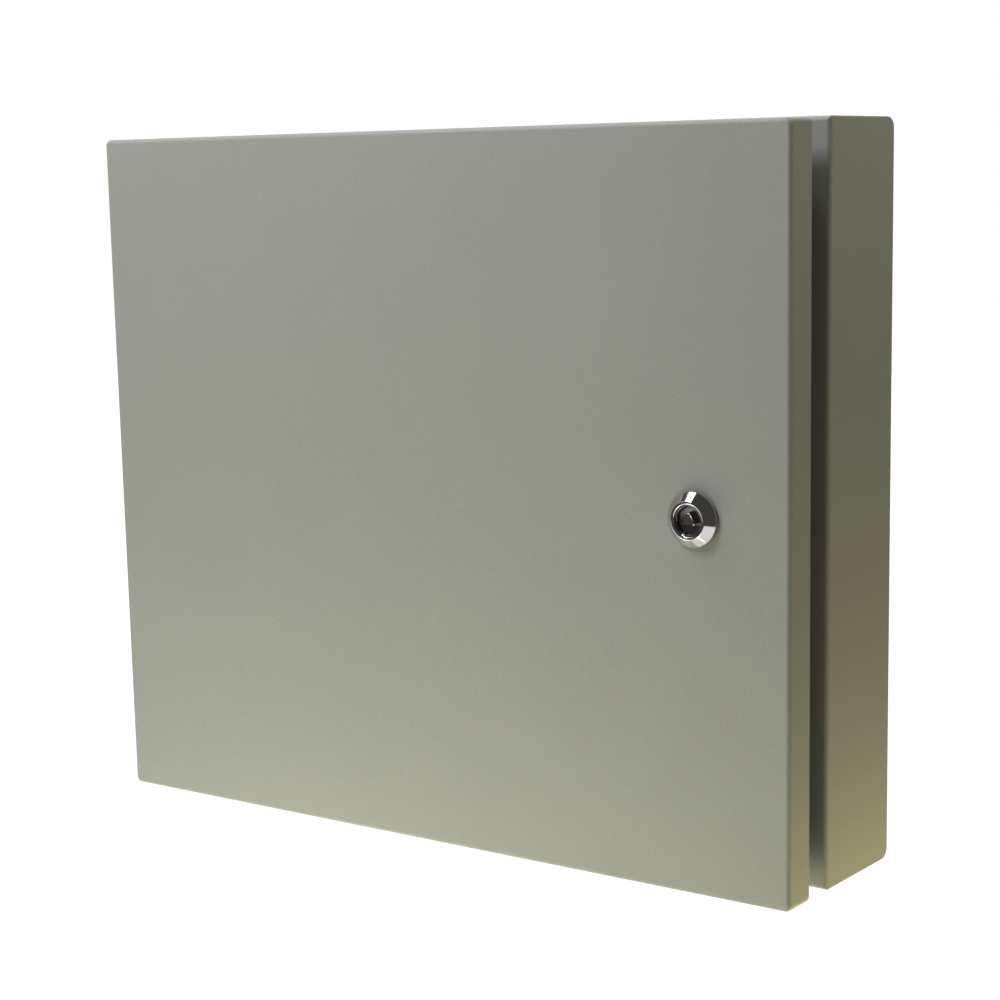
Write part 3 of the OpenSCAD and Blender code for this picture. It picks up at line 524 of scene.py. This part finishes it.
def caps(rows, columns):
    """The faces that close the two ends of a grid of rings."""
    return [list(range(columns))[::-1], [(rows - 1) * columns + k for k in range(columns)]]


def circle(radius, height, segments):
    """Points of a level circle."""
    angles = [2 * math.pi * k / segments for k in range(segments)]
    return [(radius * math.cos(turn), radius * math.sin(turn), height) for turn in angles]


def lathe(profile, segments=96, closed=True):
    """Turns a profile of (radius, height) about Z; closed joins its last point to its first."""
    points = [point for radius, height in profile for point in circle(radius, height, segments)]
    return points, grid_faces(len(profile), segments, closed, True)


def prism(outline, low, high, bevel=0.0):
    """An upright prism with a flat bevel round its upper edge, shrunk towards the outline's centre."""
    count = len(outline)
    size = max(math.hypot(x, y) for x, y in outline)
    shrink = 1 - bevel / size
    rings = [(low, 1.0), (high - bevel, 1.0), (high, shrink)]
    points = [(x * share, y * share, z) for z, share in rings for x, y in outline]
    return points, grid_faces(len(rings), count, False, True) + caps(len(rings), count)


def ridge(turn):
    """Height of a thread from 0 at the root to 1 at the crest, for a turn counted from 0 to 1."""
    return min(1.0, max(0.0, 1.5 - 5 * abs(turn % 1 - 0.5)))


def threaded_rod(low, high, radius, pitch, depth, flat=None, bore=None, segments=32, steps=8):
    """A threaded rod along Z, with flats at plus and minus flat in Y and an optional bore."""
    rows = max(2, round((high - low) / pitch * steps))
    points = []
    for r in range(rows + 1):
        z = low + (high - low) * r / rows
        for k in range(segments):
            turn = 2 * math.pi * k / segments
            reach = radius - depth * (1 - ridge(z / pitch - k / segments))
            if flat:
                reach = min(reach, flat / max(1e-6, abs(math.sin(turn))))
            points.append((reach * math.cos(turn), reach * math.sin(turn), z))
    faces = grid_faces(rows + 1, segments, False, True)
    if bore:
        start = len(points)
        points += circle(bore, low, segments) + circle(bore, high, segments)
        faces += [[start + corner for corner in face] for face in grid_faces(2, segments, False, True)]
        for ring, edge in ((0, 0), (rows * segments, segments)):
            for k in range(segments):
                after = (k + 1) % segments
                faces.append((ring + k, ring + after, start + edge + after, start + edge + k))
    else:
        faces += caps(rows + 1, segments)
    return points, faces


def solids(node):
    """The points of each separate solid of a CAD node."""
    joined = bmesh.new()
    joined.from_mesh(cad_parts[node].data)
    bmesh.ops.remove_doubles(joined, verts=joined.verts, dist=1e-6)
    clouds = []
    for first in joined.verts:
        if first.tag:
            continue
        first.tag = True
        waiting = [first]
        cloud = []
        while waiting:
            vertex = waiting.pop()
            cloud.append(vertex.co.copy())
            for edge in vertex.link_edges:
                other = edge.other_vert(vertex)
                if not other.tag:
                    other.tag = True
                    waiting.append(other)
        clouds.append(cloud)
    joined.free()
    return clouds


def spread(cloud):
    """The lowest and highest corner of a cloud of points."""
    return (Vector([min(point[k] for point in cloud) for k in range(3)]),
            Vector([max(point[k] for point in cloud) for k in range(3)]))


def along(cloud, axis):
    """Places a shape built along +Z at a solid's middle, turned along an axis of that index."""
    low, high = spread(cloud)
    way = Vector([float(k == axis) for k in range(3)])
    turn = Vector((0, 0, 1)).rotation_difference(way).to_matrix()
    return Matrix.Translation((low + high) / 2) @ turn.to_4x4()


def cross_screw(head_radius, head_height, shank_radius, shank_length, recess=0.5):
    """A dome-headed screw with a cross recess: head up from Z = 0, shank down."""
    arm_share, reach_share, side_share = 0.14, 0.62, 0.35
    arm = arm_share * head_radius
    reach = reach_share * head_radius
    floor = head_height * (1 - recess)

    def crown(radius):
        """Height of the dome at a radius."""
        dome = math.sqrt(max(0.0, 1 - (radius / head_radius) ** 2))
        return head_height * (side_share + (1 - side_share) * dome)

    def ring(radius, top, bottom):
        """One ring of columns: each arm's edges at both levels, then two between the arms."""
        half = math.asin(min(math.sqrt(0.5), arm / radius))
        points = []
        for quarter in range(4):
            middle = quarter * math.pi / 2
            gap = math.pi / 2 - 2 * half
            turns = [(-half, top), (-half, bottom), (half, bottom), (half, top),
                     (half + gap / 3, top), (half + gap * 2 / 3, top)]
            points += [(radius * math.cos(middle + turn), radius * math.sin(middle + turn), z)
                       for turn, z in turns]
        return points

    inner = arm * math.sqrt(2)
    rings = [ring(radius, crown(radius), floor) for radius in (inner, (inner + reach) / 2, reach)]
    for share in (reach_share, 0.75, 0.86, 0.94, 0.98, 1.0):
        radius = share * head_radius
        rings.append(ring(radius, crown(radius), crown(radius)))
    for radius, z in ((head_radius, 0), (shank_radius, 0), (shank_radius, -shank_length)):
        rings.append(ring(radius, z, z))
    columns = len(rings[0])
    points = [point for row in rings for point in row]
    faces = grid_faces(len(rings), columns, False, True)
    faces.append([quarter * 6 + k for quarter in range(4) for k in (1, 2)][::-1])
    faces.append([(len(rings) - 1) * columns + k for k in range(columns)])
    return points, faces


def screws(node, name, body, axis):
    """Replaces a node's plain screws by cross-recess screws of the same size along one axis."""
    rim_share, least_shank, twist_step = 0.97, 0.5, 0.7
    made = Shape()
    for cloud in solids(node):
        low, high = spread(cloud)
        middle = (low + high) / 2
        wide = max(high[k] - low[k] for k in range(3) if k != axis) / 2
        rim = []
        for point in cloud:
            flat = [point[k] - middle[k] for k in range(3) if k != axis]
            if math.hypot(*flat) > rim_share * wide:
                rim.append(point[axis])
        seat_low, seat_high = min(rim), max(rim)
        up = (seat_low + seat_high) / 2 > middle[axis]
        head = high[axis] - seat_low if up else seat_high - low[axis]
        thin = min(math.hypot(*[point[k] - middle[k] for k in range(3) if k != axis])
                   for point in cloud if abs(point[axis] - (low if up else high)[axis]) < 1e-5)
        shank = max(thin, least_shank * wide)
        length_below = (high[axis] - low[axis]) - head
        middle[axis] = seat_low if up else seat_high
        way = Vector([0.0, 0.0, 0.0])
        way[axis] = 1.0 if up else -1.0
        turn = Vector((0, 0, 1)).rotation_difference(way).to_matrix().to_4x4()
        twist = Matrix.Rotation(twist_step * len(made.points), 4, "Z")
        made.add(*cross_screw(wide, head, shank, length_below), Matrix.Translation(middle) @ turn @ twist)
    piece = made.piece(name, body, "zinc_plate", 30)
    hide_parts(node)


def threaded_studs(node, name, body, sizes):
    """Replaces a node's plain studs by threaded ones of the same size, along Y."""
    made = Shape()
    for cloud in solids(node):
        low, high = spread(cloud)
        reach = (high.x - low.x) / 2
        half = (high.y - low.y) / 2
        rod = threaded_rod(-half, half, reach, sizes.stud_pitch, sizes.stud_depth, segments=20, steps=6)
        made.add(*rod, along(cloud, 1))
    piece = made.piece(name, body, "zinc_plate", 60)
    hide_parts(node)


def soften(nodes, width):
    """Bevels the edges of moulded CAD nodes with modifiers."""
    for name in nodes:
        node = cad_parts[name]
        weld = node.modifiers.new("join", "WELD")
        weld.merge_threshold = 1e-6
        bevel = node.modifiers.new("edges", "BEVEL")
        bevel.width = width
        bevel.segments = 2
        bevel.limit_method = "ANGLE"
        bevel.angle_limit = math.radians(50)
        bevel.use_clamp_overlap = True


# Operators


class BOX_OT_paint_sheet(bpy.types.Operator):
    """Powder coat on the cabinet's sheets, the door and the welded hinge leaves"""

    bl_idname = "distribution_box.paint_sheet"
    bl_label = "Paint the Sheet Steel"

    def execute(self, context):
        leaves = [f"hinge_leaf_{part}_{end}" for part in ("body", "door") for end in HINGE_ENDS]
        dress("body_paint", PAINTED + leaves)
        return {"FINISHED"}


class BOX_OT_dress_lock(bpy.types.Operator):
    """The quarter-turn lock: rounded bezel, threaded barrel, core with its post, nut, cam and screw"""

    bl_idname = "distribution_box.dress_lock"
    bl_label = "Dress the Lock"

    def execute(self, context):
        sizes = context.scene.lock_sizes
        centre = (LOCK_LOW + LOCK_HIGH) / 2
        base = Vector((centre.x, LOCK_LOW.y + sizes.head_height, centre.z))
        self.make_housing(sizes, base)
        self.make_core(sizes, base)
        dress("zinc_plate", ["lock_nut", "lock_cam", "cam_screw"])
        dress("seal_foam", ["lock_seal"])
        return {"FINISHED"}

    def make_housing(self, sizes, base):
        """The bezel with its stepped recess and nub, and the threaded barrel behind it."""
        top = sizes.head_height
        outer = (LOCK_HIGH.x - LOCK_LOW.x) / 2
        soft = sizes.rim_round
        floor = top - sizes.recess_depth
        step = top - sizes.step_depth
        edge = sizes.base_height
        bore = sizes.core_radius
        wide = bore + sizes.core_gap
        profile = [(wide, 0), (wide, floor), (sizes.step_radius, floor)]
        profile += arc((sizes.step_radius + soft / 3, step - soft / 3), soft / 3, 180, 90, 3)
        profile += [(sizes.rim_inner, step)]
        profile += arc((sizes.rim_inner + soft, top - soft), soft, 180, 90)
        profile += arc((sizes.rim_radius - soft, top - soft), soft, 90, 42)
        profile += arc((outer - soft, edge - soft / 2), soft, 48, 0)
        profile += [(outer, 0)]
        head = Shape()
        place = facing(base)
        head.add(*lathe(profile), place)
        side = Vector((math.cos(sizes.nub_angle), math.sin(sizes.nub_angle), 0))
        low = floor + sizes.core_gap + sizes.face_height + sizes.nub_gap
        thick = sizes.nub_radius
        nub = [(0, low), (thick, low), (thick, top - soft), (0, top - soft / 2)]
        head.add(*lathe(nub, 24, False), place @ Matrix.Translation(sizes.step_radius * side))
        barrel_end = -(LOCK_HIGH.y - base.y)
        barrel = threaded_rod(barrel_end, floor / 2, sizes.barrel_radius, sizes.thread_pitch,
                              sizes.thread_depth, sizes.barrel_flat, bore, 96)
        head.add(*barrel, place)
        made = head.piece("lock_body", "door", "lock_chrome", 40)
        # Painted shade: the faces inside the rim and below the step, that is the recess with its nub and
        # the bore, get the darkened finish.
        self.darken(made, base, sizes.rim_inner + soft / 4, base.y - step)
        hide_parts("lock_housing")

    def make_core(self, sizes, base):
        """The turning core: a dished face with the triangular post, and the square for the cam."""
        top = sizes.head_height
        under = top - sizes.recess_depth + sizes.core_gap
        face = under + sizes.face_height
        dish = face - sizes.dish_depth
        rim = sizes.step_radius - sizes.side_gap
        dish_floor, dish_edge = rim * 0.72, rim * 0.80
        shaft = sizes.core_radius - sizes.bore_gap
        barrel_end = -(LOCK_HIGH.y - base.y)
        back = base.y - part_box("lock_core")[1].y
        core = Shape()
        place = facing(base)
        profile = [(0, dish), (dish_floor, dish), (dish_edge, face), (rim - sizes.rim_chamfer, face),
                   (rim, face - sizes.rim_chamfer), (rim, under), (shaft, under), (shaft, barrel_end),
                   (0, barrel_end)]
        core.add(*lathe(profile, 64, False), place)
        reach = sizes.post_size * 2 / 3 * sizes.post_share
        corners = []
        for turn in (90, 210, 330):
            for lean in (-sizes.post_blunt, sizes.post_blunt):
                way = math.radians(turn) + lean
                corners.append((reach * math.cos(way), reach * math.sin(way)))
        post_foot = face - sizes.rim_chamfer
        core.add(*prism(corners, post_foot, top - sizes.post_low, sizes.post_bevel), place)
        half = sizes.square_half
        square = [(half, -half), (half, half), (-half, half), (-half, -half)]
        core.add(*prism(square, back, barrel_end + sizes.sunk), place)
        made = core.piece("lock_key_core", "lock", "lock_chrome", 30)
        # Painted shade: the core's face and everything behind it, all but the post, get the darkened
        # finish.
        self.darken(made, base, sizes.step_radius, base.y - face - sizes.side_gap)
        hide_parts("lock_core")

    @staticmethod
    def darken(piece, base, radius, front):
        """Gives the painted-shade finish to the faces within a radius of the lock's axis and behind a
        front plane, darkening them to stand for the shade in the recess.
        """
        piece.data.materials.append(finish("lock_painted_shade"))
        for face in piece.data.polygons:
            place = face.center - base
            if math.hypot(place.x, place.z) < radius and face.center.y > front - 1e-6:
                face.material_index = 1


class BOX_OT_dress_seal(bpy.types.Operator):
    """The foamed door seal: a crowned bead with slightly wavy sides"""

    bl_idname = "distribution_box.dress_seal"
    bl_label = "Dress the Door Seal"

    def execute(self, context):
        sizes = context.scene.fine_pieces
        half = sizes.seal_width / 2
        centre = (SEAL_LOW + SEAL_HIGH) / 2
        reach = (SEAL_HIGH - SEAL_LOW) / 2 - Vector((half, 0, half))
        path = self.walk(reach.x, reach.z, sizes.seal_corner - half)
        height = SEAL_HIGH.y - SEAL_LOW.y
        points = []
        section, side_power, crown_power = 14, 0.55, 0.5
        slow, fast = 0.71, 1.37
        for k, (x, z, out_x, out_z) in enumerate(path):
            wave = sizes.seal_wave * (math.sin(k * slow) + math.sin(k * fast + 1)) / 2
            for s in range(section):
                turn = math.pi * s / (section - 1)
                side = math.copysign(abs(math.cos(turn)) ** side_power, math.cos(turn))
                across = (half - abs(wave)) * side + wave
                rise = (height - abs(wave)) * max(0.0, math.sin(turn)) ** crown_power
                points.append((
                    centre.x + x + out_x * across, SEAL_LOW.y + rise, centre.z + z + out_z * across))
        bead = Shape()
        bead.add(points, grid_faces(len(path), section, True, True))
        made = bead.piece("door_seal_bead", "door", "seal_foam", 60)
        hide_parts("door_seal")
        return {"FINISHED"}

    @staticmethod
    def walk(half_x, half_z, corner, step=6 * MM, turn_steps=8):
        """Points round a rounded rectangle with the outward direction at each."""
        path = []
        sides = [(1, 0), (0, 1), (-1, 0), (0, -1)]
        for out_x, out_z in sides:
            straight = half_z - corner if out_x else half_x - corner
            reach = half_x if out_x else half_z
            count = round(2 * straight / step)
            for k in range(count):
                slide = -straight + 2 * straight * k / count
                path.append((out_x * reach - out_z * slide, out_z * reach + out_x * slide, out_x, out_z))
            next_x, next_z = -out_z, out_x
            middle_x = out_x * (reach - corner) + next_x * straight
            middle_z = out_z * (reach - corner) + next_z * straight
            for k in range(turn_steps):
                turn = math.pi / 2 * k / turn_steps
                way_x = out_x * math.cos(turn) + next_x * math.sin(turn)
                way_z = out_z * math.cos(turn) + next_z * math.sin(turn)
                path.append((middle_x + way_x * corner, middle_z + way_z * corner, way_x, way_z))
        return path


class BOX_OT_dress_hinges(bpy.types.Operator):
    """Hinge pins, and the weld beads that hold the leaves"""

    bl_idname = "distribution_box.dress_hinges"
    bl_label = "Dress the Hinges"

    def execute(self, context):
        sizes = context.scene.fine_pieces
        dress("zinc_plate", [f"hinge_pin_{end}" for end in HINGE_ENDS])
        for part, body in (("body", "cabinet"), ("door", "door")):
            beads = Shape()
            for end in HINGE_ENDS:
                low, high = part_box(f"hinge_leaf_{part}_{end}")
                edge = (high.x, high.y) if part == "body" else (low.x + sizes.leaf_thickness, low.y)
                quarter = (high.z - low.z) / 4
                for z in (low.z + quarter, high.z - quarter):
                    beads.add(*self.bead(sizes, edge, z))
            beads.piece(f"hinge_welds_{part}", body, "body_paint", 60)
        return {"FINISHED"}

    @staticmethod
    def bead(sizes, edge, middle):
        """One rippled bead along Z, as a closed round bar half sunk in the corner."""
        rows, around = 40, 12
        ripple_share, end_power, end_least = 0.12, 8, 0.02
        points = []
        for r in range(rows + 1):
            share = r / rows
            z = middle + sizes.bead_length * (share - 0.5)
            ends = math.sqrt(max(end_least, 1 - (2 * share - 1) ** end_power))
            waves = sizes.bead_length * share / sizes.bead_ripple
            ripple = 1 - ripple_share * abs(math.sin(math.pi * waves))
            rim = circle(sizes.bead_radius * ends * ripple, z, around)
            points += [(edge[0] + x, edge[1] + y, height) for x, y, height in rim]
        return points, grid_faces(rows + 1, around, False, True) + caps(rows + 1, around)


class BOX_OT_dress_shelf(bpy.types.Operator):
    """The adapter shelf with its adapters, screws and dust caps"""

    bl_idname = "distribution_box.dress_shelf"
    bl_label = "Dress the Adapter Shelf"

    def execute(self, context):
        dress("zinc_plate", ["adapter_shelf", "shelf_nuts"])
        screws("adapter_screws", "adapter_cross_screws", "cabinet", 2)
        dress("adapter_blue", ADAPTERS)
        soften(ADAPTERS, context.scene.fine_pieces.moulded_edge)
        dress("cap_plastic", ["dust_caps"])
        return {"FINISHED"}


class BOX_OT_dress_trays(bpy.types.Operator):
    """Splice trays with their combs, lid, spacers, wing nuts and the fibre guides"""

    bl_idname = "distribution_box.dress_trays"
    bl_label = "Dress the Splice Trays"

    def execute(self, context):
        levels = ("lower", "upper")
        dress("tray_plastic", [f"splice_tray_{level}" for level in levels] + GUIDES)
        dress("comb_plastic", [f"splice_comb_{level}" for level in levels])
        dress("lid_clear", ["tray_lid"])
        dress("zinc_plate", ["tray_spacers", "tray_wing_nuts"])
        return {"FINISHED"}


class BOX_OT_dress_entries(bpy.types.Operator):
    """Cable entries and anchoring: grommets, rail, saddles, posts, studs and earth points"""

    bl_idname = "distribution_box.dress_entries"
    bl_label = "Dress the Cable Entries"

    def execute(self, context):
        sizes = context.scene.fine_pieces
        dress("grommet_rubber", GROMMETS)
        dress("zinc_plate", ["anchor_rail", *SADDLES])
        screws("rail_screws", "rail_cross_screws", "cabinet", 1)
        screws("gland_screws", "gland_cross_screws", "cabinet", 2)
        threaded_studs("weld_studs", "threaded_studs", "cabinet", sizes)
        threaded_studs("door_earth_stud", "door_threaded_stud", "door", sizes)
        dress("brass", ["strength_posts", "earth_nut_body", "door_earth_nut"])
        return {"FINISHED"}


class BOX_OT_set_stage(bpy.types.Operator):
    """Pale floor, soft lamps, white surround and the camera"""

    bl_idname = "distribution_box.set_stage"
    bl_label = "Set the Stage"

    def execute(self, context):
        sizes = context.scene.stage_sizes
        context.scene.view_settings.view_transform = "Standard"
        self.lay_floor(sizes)
        self.hang_hood(sizes)
        self.light_world(context.scene, sizes)
        self.hang_lamps()
        self.place_camera(context.scene, sizes)
        return {"FINISHED"}

    @staticmethod
    def seen(made):
        """1 for rays that show the background: from the camera, off gloss or through glass."""
        kinds = ("Is Camera Ray", "Is Glossy Ray", "Is Transmission Ray")
        seen = None
        for kind in kinds:
            ray = made.node("ShaderNodeLightPath", out=kind)
            seen = seen.maths("MAXIMUM", seen, ray) if seen else ray
        return seen

    def lay_floor(self, sizes):
        """A white floor that shows the box's shadow near the box, and is clear from below."""
        half = sizes.floor_size / 2
        height = CAD_LOW.z - sizes.floor_drop
        mesh = bpy.data.meshes.new("floor")
        corners = [(-half, -half), (half, -half), (half, half), (-half, half)]
        mesh.from_pydata([(x, y, height) for x, y in corners], [], [(0, 1, 2, 3)])
        made = new_finish("pale_floor")
        board = made.node("ShaderNodeBsdfDiffuse", None, {"Color": (0.80, 0.79, 0.76, 1)})
        white = made.node("ShaderNodeEmission", None, {
            "Color": (1, 1, 1, 1), "Strength": sizes.floor_glow})
        distance = made.node(
            "ShaderNodeVectorMath", {"operation": "LENGTH"}, {0: made.place()}, out="Value")
        near, far = sizes.shadow_near / RAMP_SPAN, sizes.shadow_far / RAMP_SPAN
        faded = made.shade(distance / RAMP_SPAN, near, far)
        share = self.seen(made) * (1 - sizes.shadow_share + sizes.shadow_share * faded)
        pale = made.node("ShaderNodeMixShader", None, {0: share, 1: board, 2: white})
        below = made.node("ShaderNodeNewGeometry", out="Backfacing")
        clear = made.node("ShaderNodeBsdfTransparent")
        made.finish_with(made.node("ShaderNodeMixShader", None, {0: below, 1: pale, 2: clear}))
        mesh.materials.append(made.owner)
        floor = bpy.data.objects.new("floor", mesh)
        bpy.context.scene.collection.objects.link(floor)
        floor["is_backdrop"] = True

    def hang_hood(self, sizes):
        """A dim round hood over the set, which only shiny surfaces see."""
        mesh = bpy.data.meshes.new("dim_hood")
        shell = bmesh.new()
        bmesh.ops.create_uvsphere(shell, u_segments=64, v_segments=32, radius=sizes.hood_radius)
        floor = Vector((0, 0, CAD_LOW.z - sizes.floor_drop + sizes.hood_lift))
        bmesh.ops.bisect_plane(shell, geom=[*shell.verts, *shell.edges, *shell.faces], plane_co=floor,
                               plane_no=(0, 0, -1), clear_outer=True)
        shell.to_mesh(mesh)
        shell.free()
        made = new_finish("dim_hood")
        made.finish_with(made.node("ShaderNodeEmission", None, {
            "Color": (1.0, 0.93, 0.84, 1), "Strength": sizes.hood_level}))
        mesh.materials.append(made.owner)
        hood = bpy.data.objects.new("dim_hood", mesh)
        hood.visible_camera = False
        hood.visible_diffuse = False
        hood.visible_shadow = False
        hood.visible_transmission = False
        bpy.context.scene.collection.objects.link(hood)
        hood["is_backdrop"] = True

    def light_world(self, scene, sizes):
        """A surround that is white to look at and dim as a lamp."""
        scene.world = bpy.data.worlds.new("surround")
        made = Finish(scene.world, "ShaderNodeOutputWorld")
        level = sizes.surround_level + (1 - sizes.surround_level) * self.seen(made)
        made.finish_with(made.node(
            "ShaderNodeBackground", None, {"Color": (1, 1, 1, 1), "Strength": level}))

    @staticmethod
    def hang_lamps():
        """Square lamps, all aimed at the box: name, place, width, watts and tone."""
        target = Vector((0, -0.08, 0))
        cool = (0.94, 0.98, 1.0)
        lamps = [
            ("key", (-0.3, -0.75, 0.85), 0.3, 7.1, (0.95, 0.965, 1.0)),
            ("front_low", (0, -2.15, -0.46), 1.0, 4.2, cool),
            ("overhead", (-0.55, -0.45, 1.3), 0.45, 5.0, (0.92, 0.95, 1.0)),
            ("left_low", (-0.7, -0.9, -0.45), 0.5, 1.0, cool),
            ("left_high", (-0.8, -0.8, 0.7), 0.4, 1.0, cool),
            ("right_back", (1.5, 0.8, 0.45), 0.8, 1.2, (1.0, 0.93, 0.55)),
            ("top_back", (-0.1, 0.25, 1.1), 0.6, 4.0, cool),
            ("back", (-0.7, 1.8, 0.9), 1.2, 14.0, (1.0, 0.99, 0.96)),
            ("right_high", (0.5, 0.05, 0.55), 0.2, 0.93, (1.0, 0.96, 0.78)),
            ("right_low", (0.37, -0.01, -0.36), 0.15, 0.51, (1.0, 0.88, 0.34)),
            ("bounce_left", (-0.2, -0.36, -0.44), 0.25, 1.06, (1.0, 1.0, 0.76)),
            ("bounce_right", (0.2, -0.36, -0.44), 0.25, 0.52, (1.0, 1.0, 0.50)),
        ]
        for name, place, size, power, tone in lamps:
            light = bpy.data.lights.new(name, "AREA")
            light.size = size
            light.energy = power
            light.color = tone
            lamp = bpy.data.objects.new(name, light)
            lamp.location = place
            aim = target - lamp.location
            lamp.visible_camera = False
            lamp.rotation_mode = "QUATERNION"
            lamp.rotation_quaternion = aim.to_track_quat("-Z", "Y")
            bpy.context.scene.collection.objects.link(lamp)

    @staticmethod
    def place_camera(scene, sizes):
        """The photograph's camera, with its optical centre shifted as fitted."""
        camera = bpy.data.cameras.new("camera")
        camera.sensor_width = SENSOR_WIDTH
        camera.lens = sizes.focal_pixels * SENSOR_WIDTH / IMAGE_PIXELS
        camera.shift_x = 0.5 - sizes.centre_x / IMAGE_PIXELS
        camera.shift_y = sizes.centre_y / IMAGE_PIXELS - 0.5
        camera.clip_start = 0.05
        holder = bpy.data.objects.new("camera", camera)
        turn = Matrix.Rotation(sizes.camera_azimuth, 4, "Z")
        tip = Matrix.Rotation(math.pi / 2 - sizes.camera_elevation, 4, "X")
        roll = Matrix.Rotation(sizes.camera_roll, 4, "Z")
        holder.matrix_world = Matrix.Translation(sizes.camera_place) @ turn @ tip @ roll
        scene.collection.objects.link(holder)
        scene.camera = holder


OPERATORS = [
    BOX_OT_paint_sheet,
    BOX_OT_dress_lock,
    BOX_OT_dress_seal,
    BOX_OT_dress_hinges,
    BOX_OT_dress_shelf,
    BOX_OT_dress_trays,
    BOX_OT_dress_entries,
    BOX_OT_set_stage,
]


class BOX_PT_panel(bpy.types.Panel):
    """Lists the steps that dress the box"""

    bl_idname = "BOX_PT_panel"
    bl_label = "Distribution Box"
    bl_space_type = "VIEW_3D"
    bl_region_type = "UI"
    bl_category = "Distribution Box"

    def draw(self, context):
        for operator in OPERATORS:
            self.layout.operator(operator.bl_idname)


GROUPS = {
    "box_colours": BoxColours,
    "lock_sizes": LockSizes,
    "fine_pieces": FinePieces,
    "stage_sizes": StageSizes,
}


def register():
    """Registers the classes and hangs the property groups on the scene."""
    for cls in [*GROUPS.values(), *OPERATORS, BOX_PT_panel]:
        bpy.utils.register_class(cls)
    for name, group in GROUPS.items():
        setattr(bpy.types.Scene, name, bpy.props.PointerProperty(type=group))


def unregister():
    """Takes back what register did."""
    for name in GROUPS:
        delattr(bpy.types.Scene, name)
    for cls in [BOX_PT_panel, *reversed(OPERATORS), *reversed(GROUPS.values())]:
        bpy.utils.unregister_class(cls)


def main():
    """Runs every step."""
    register()
    for operator in OPERATORS:
        group, name = operator.bl_idname.split(".")
        getattr(getattr(bpy.ops, group), name)()


if __name__ == "__main__":
    main()
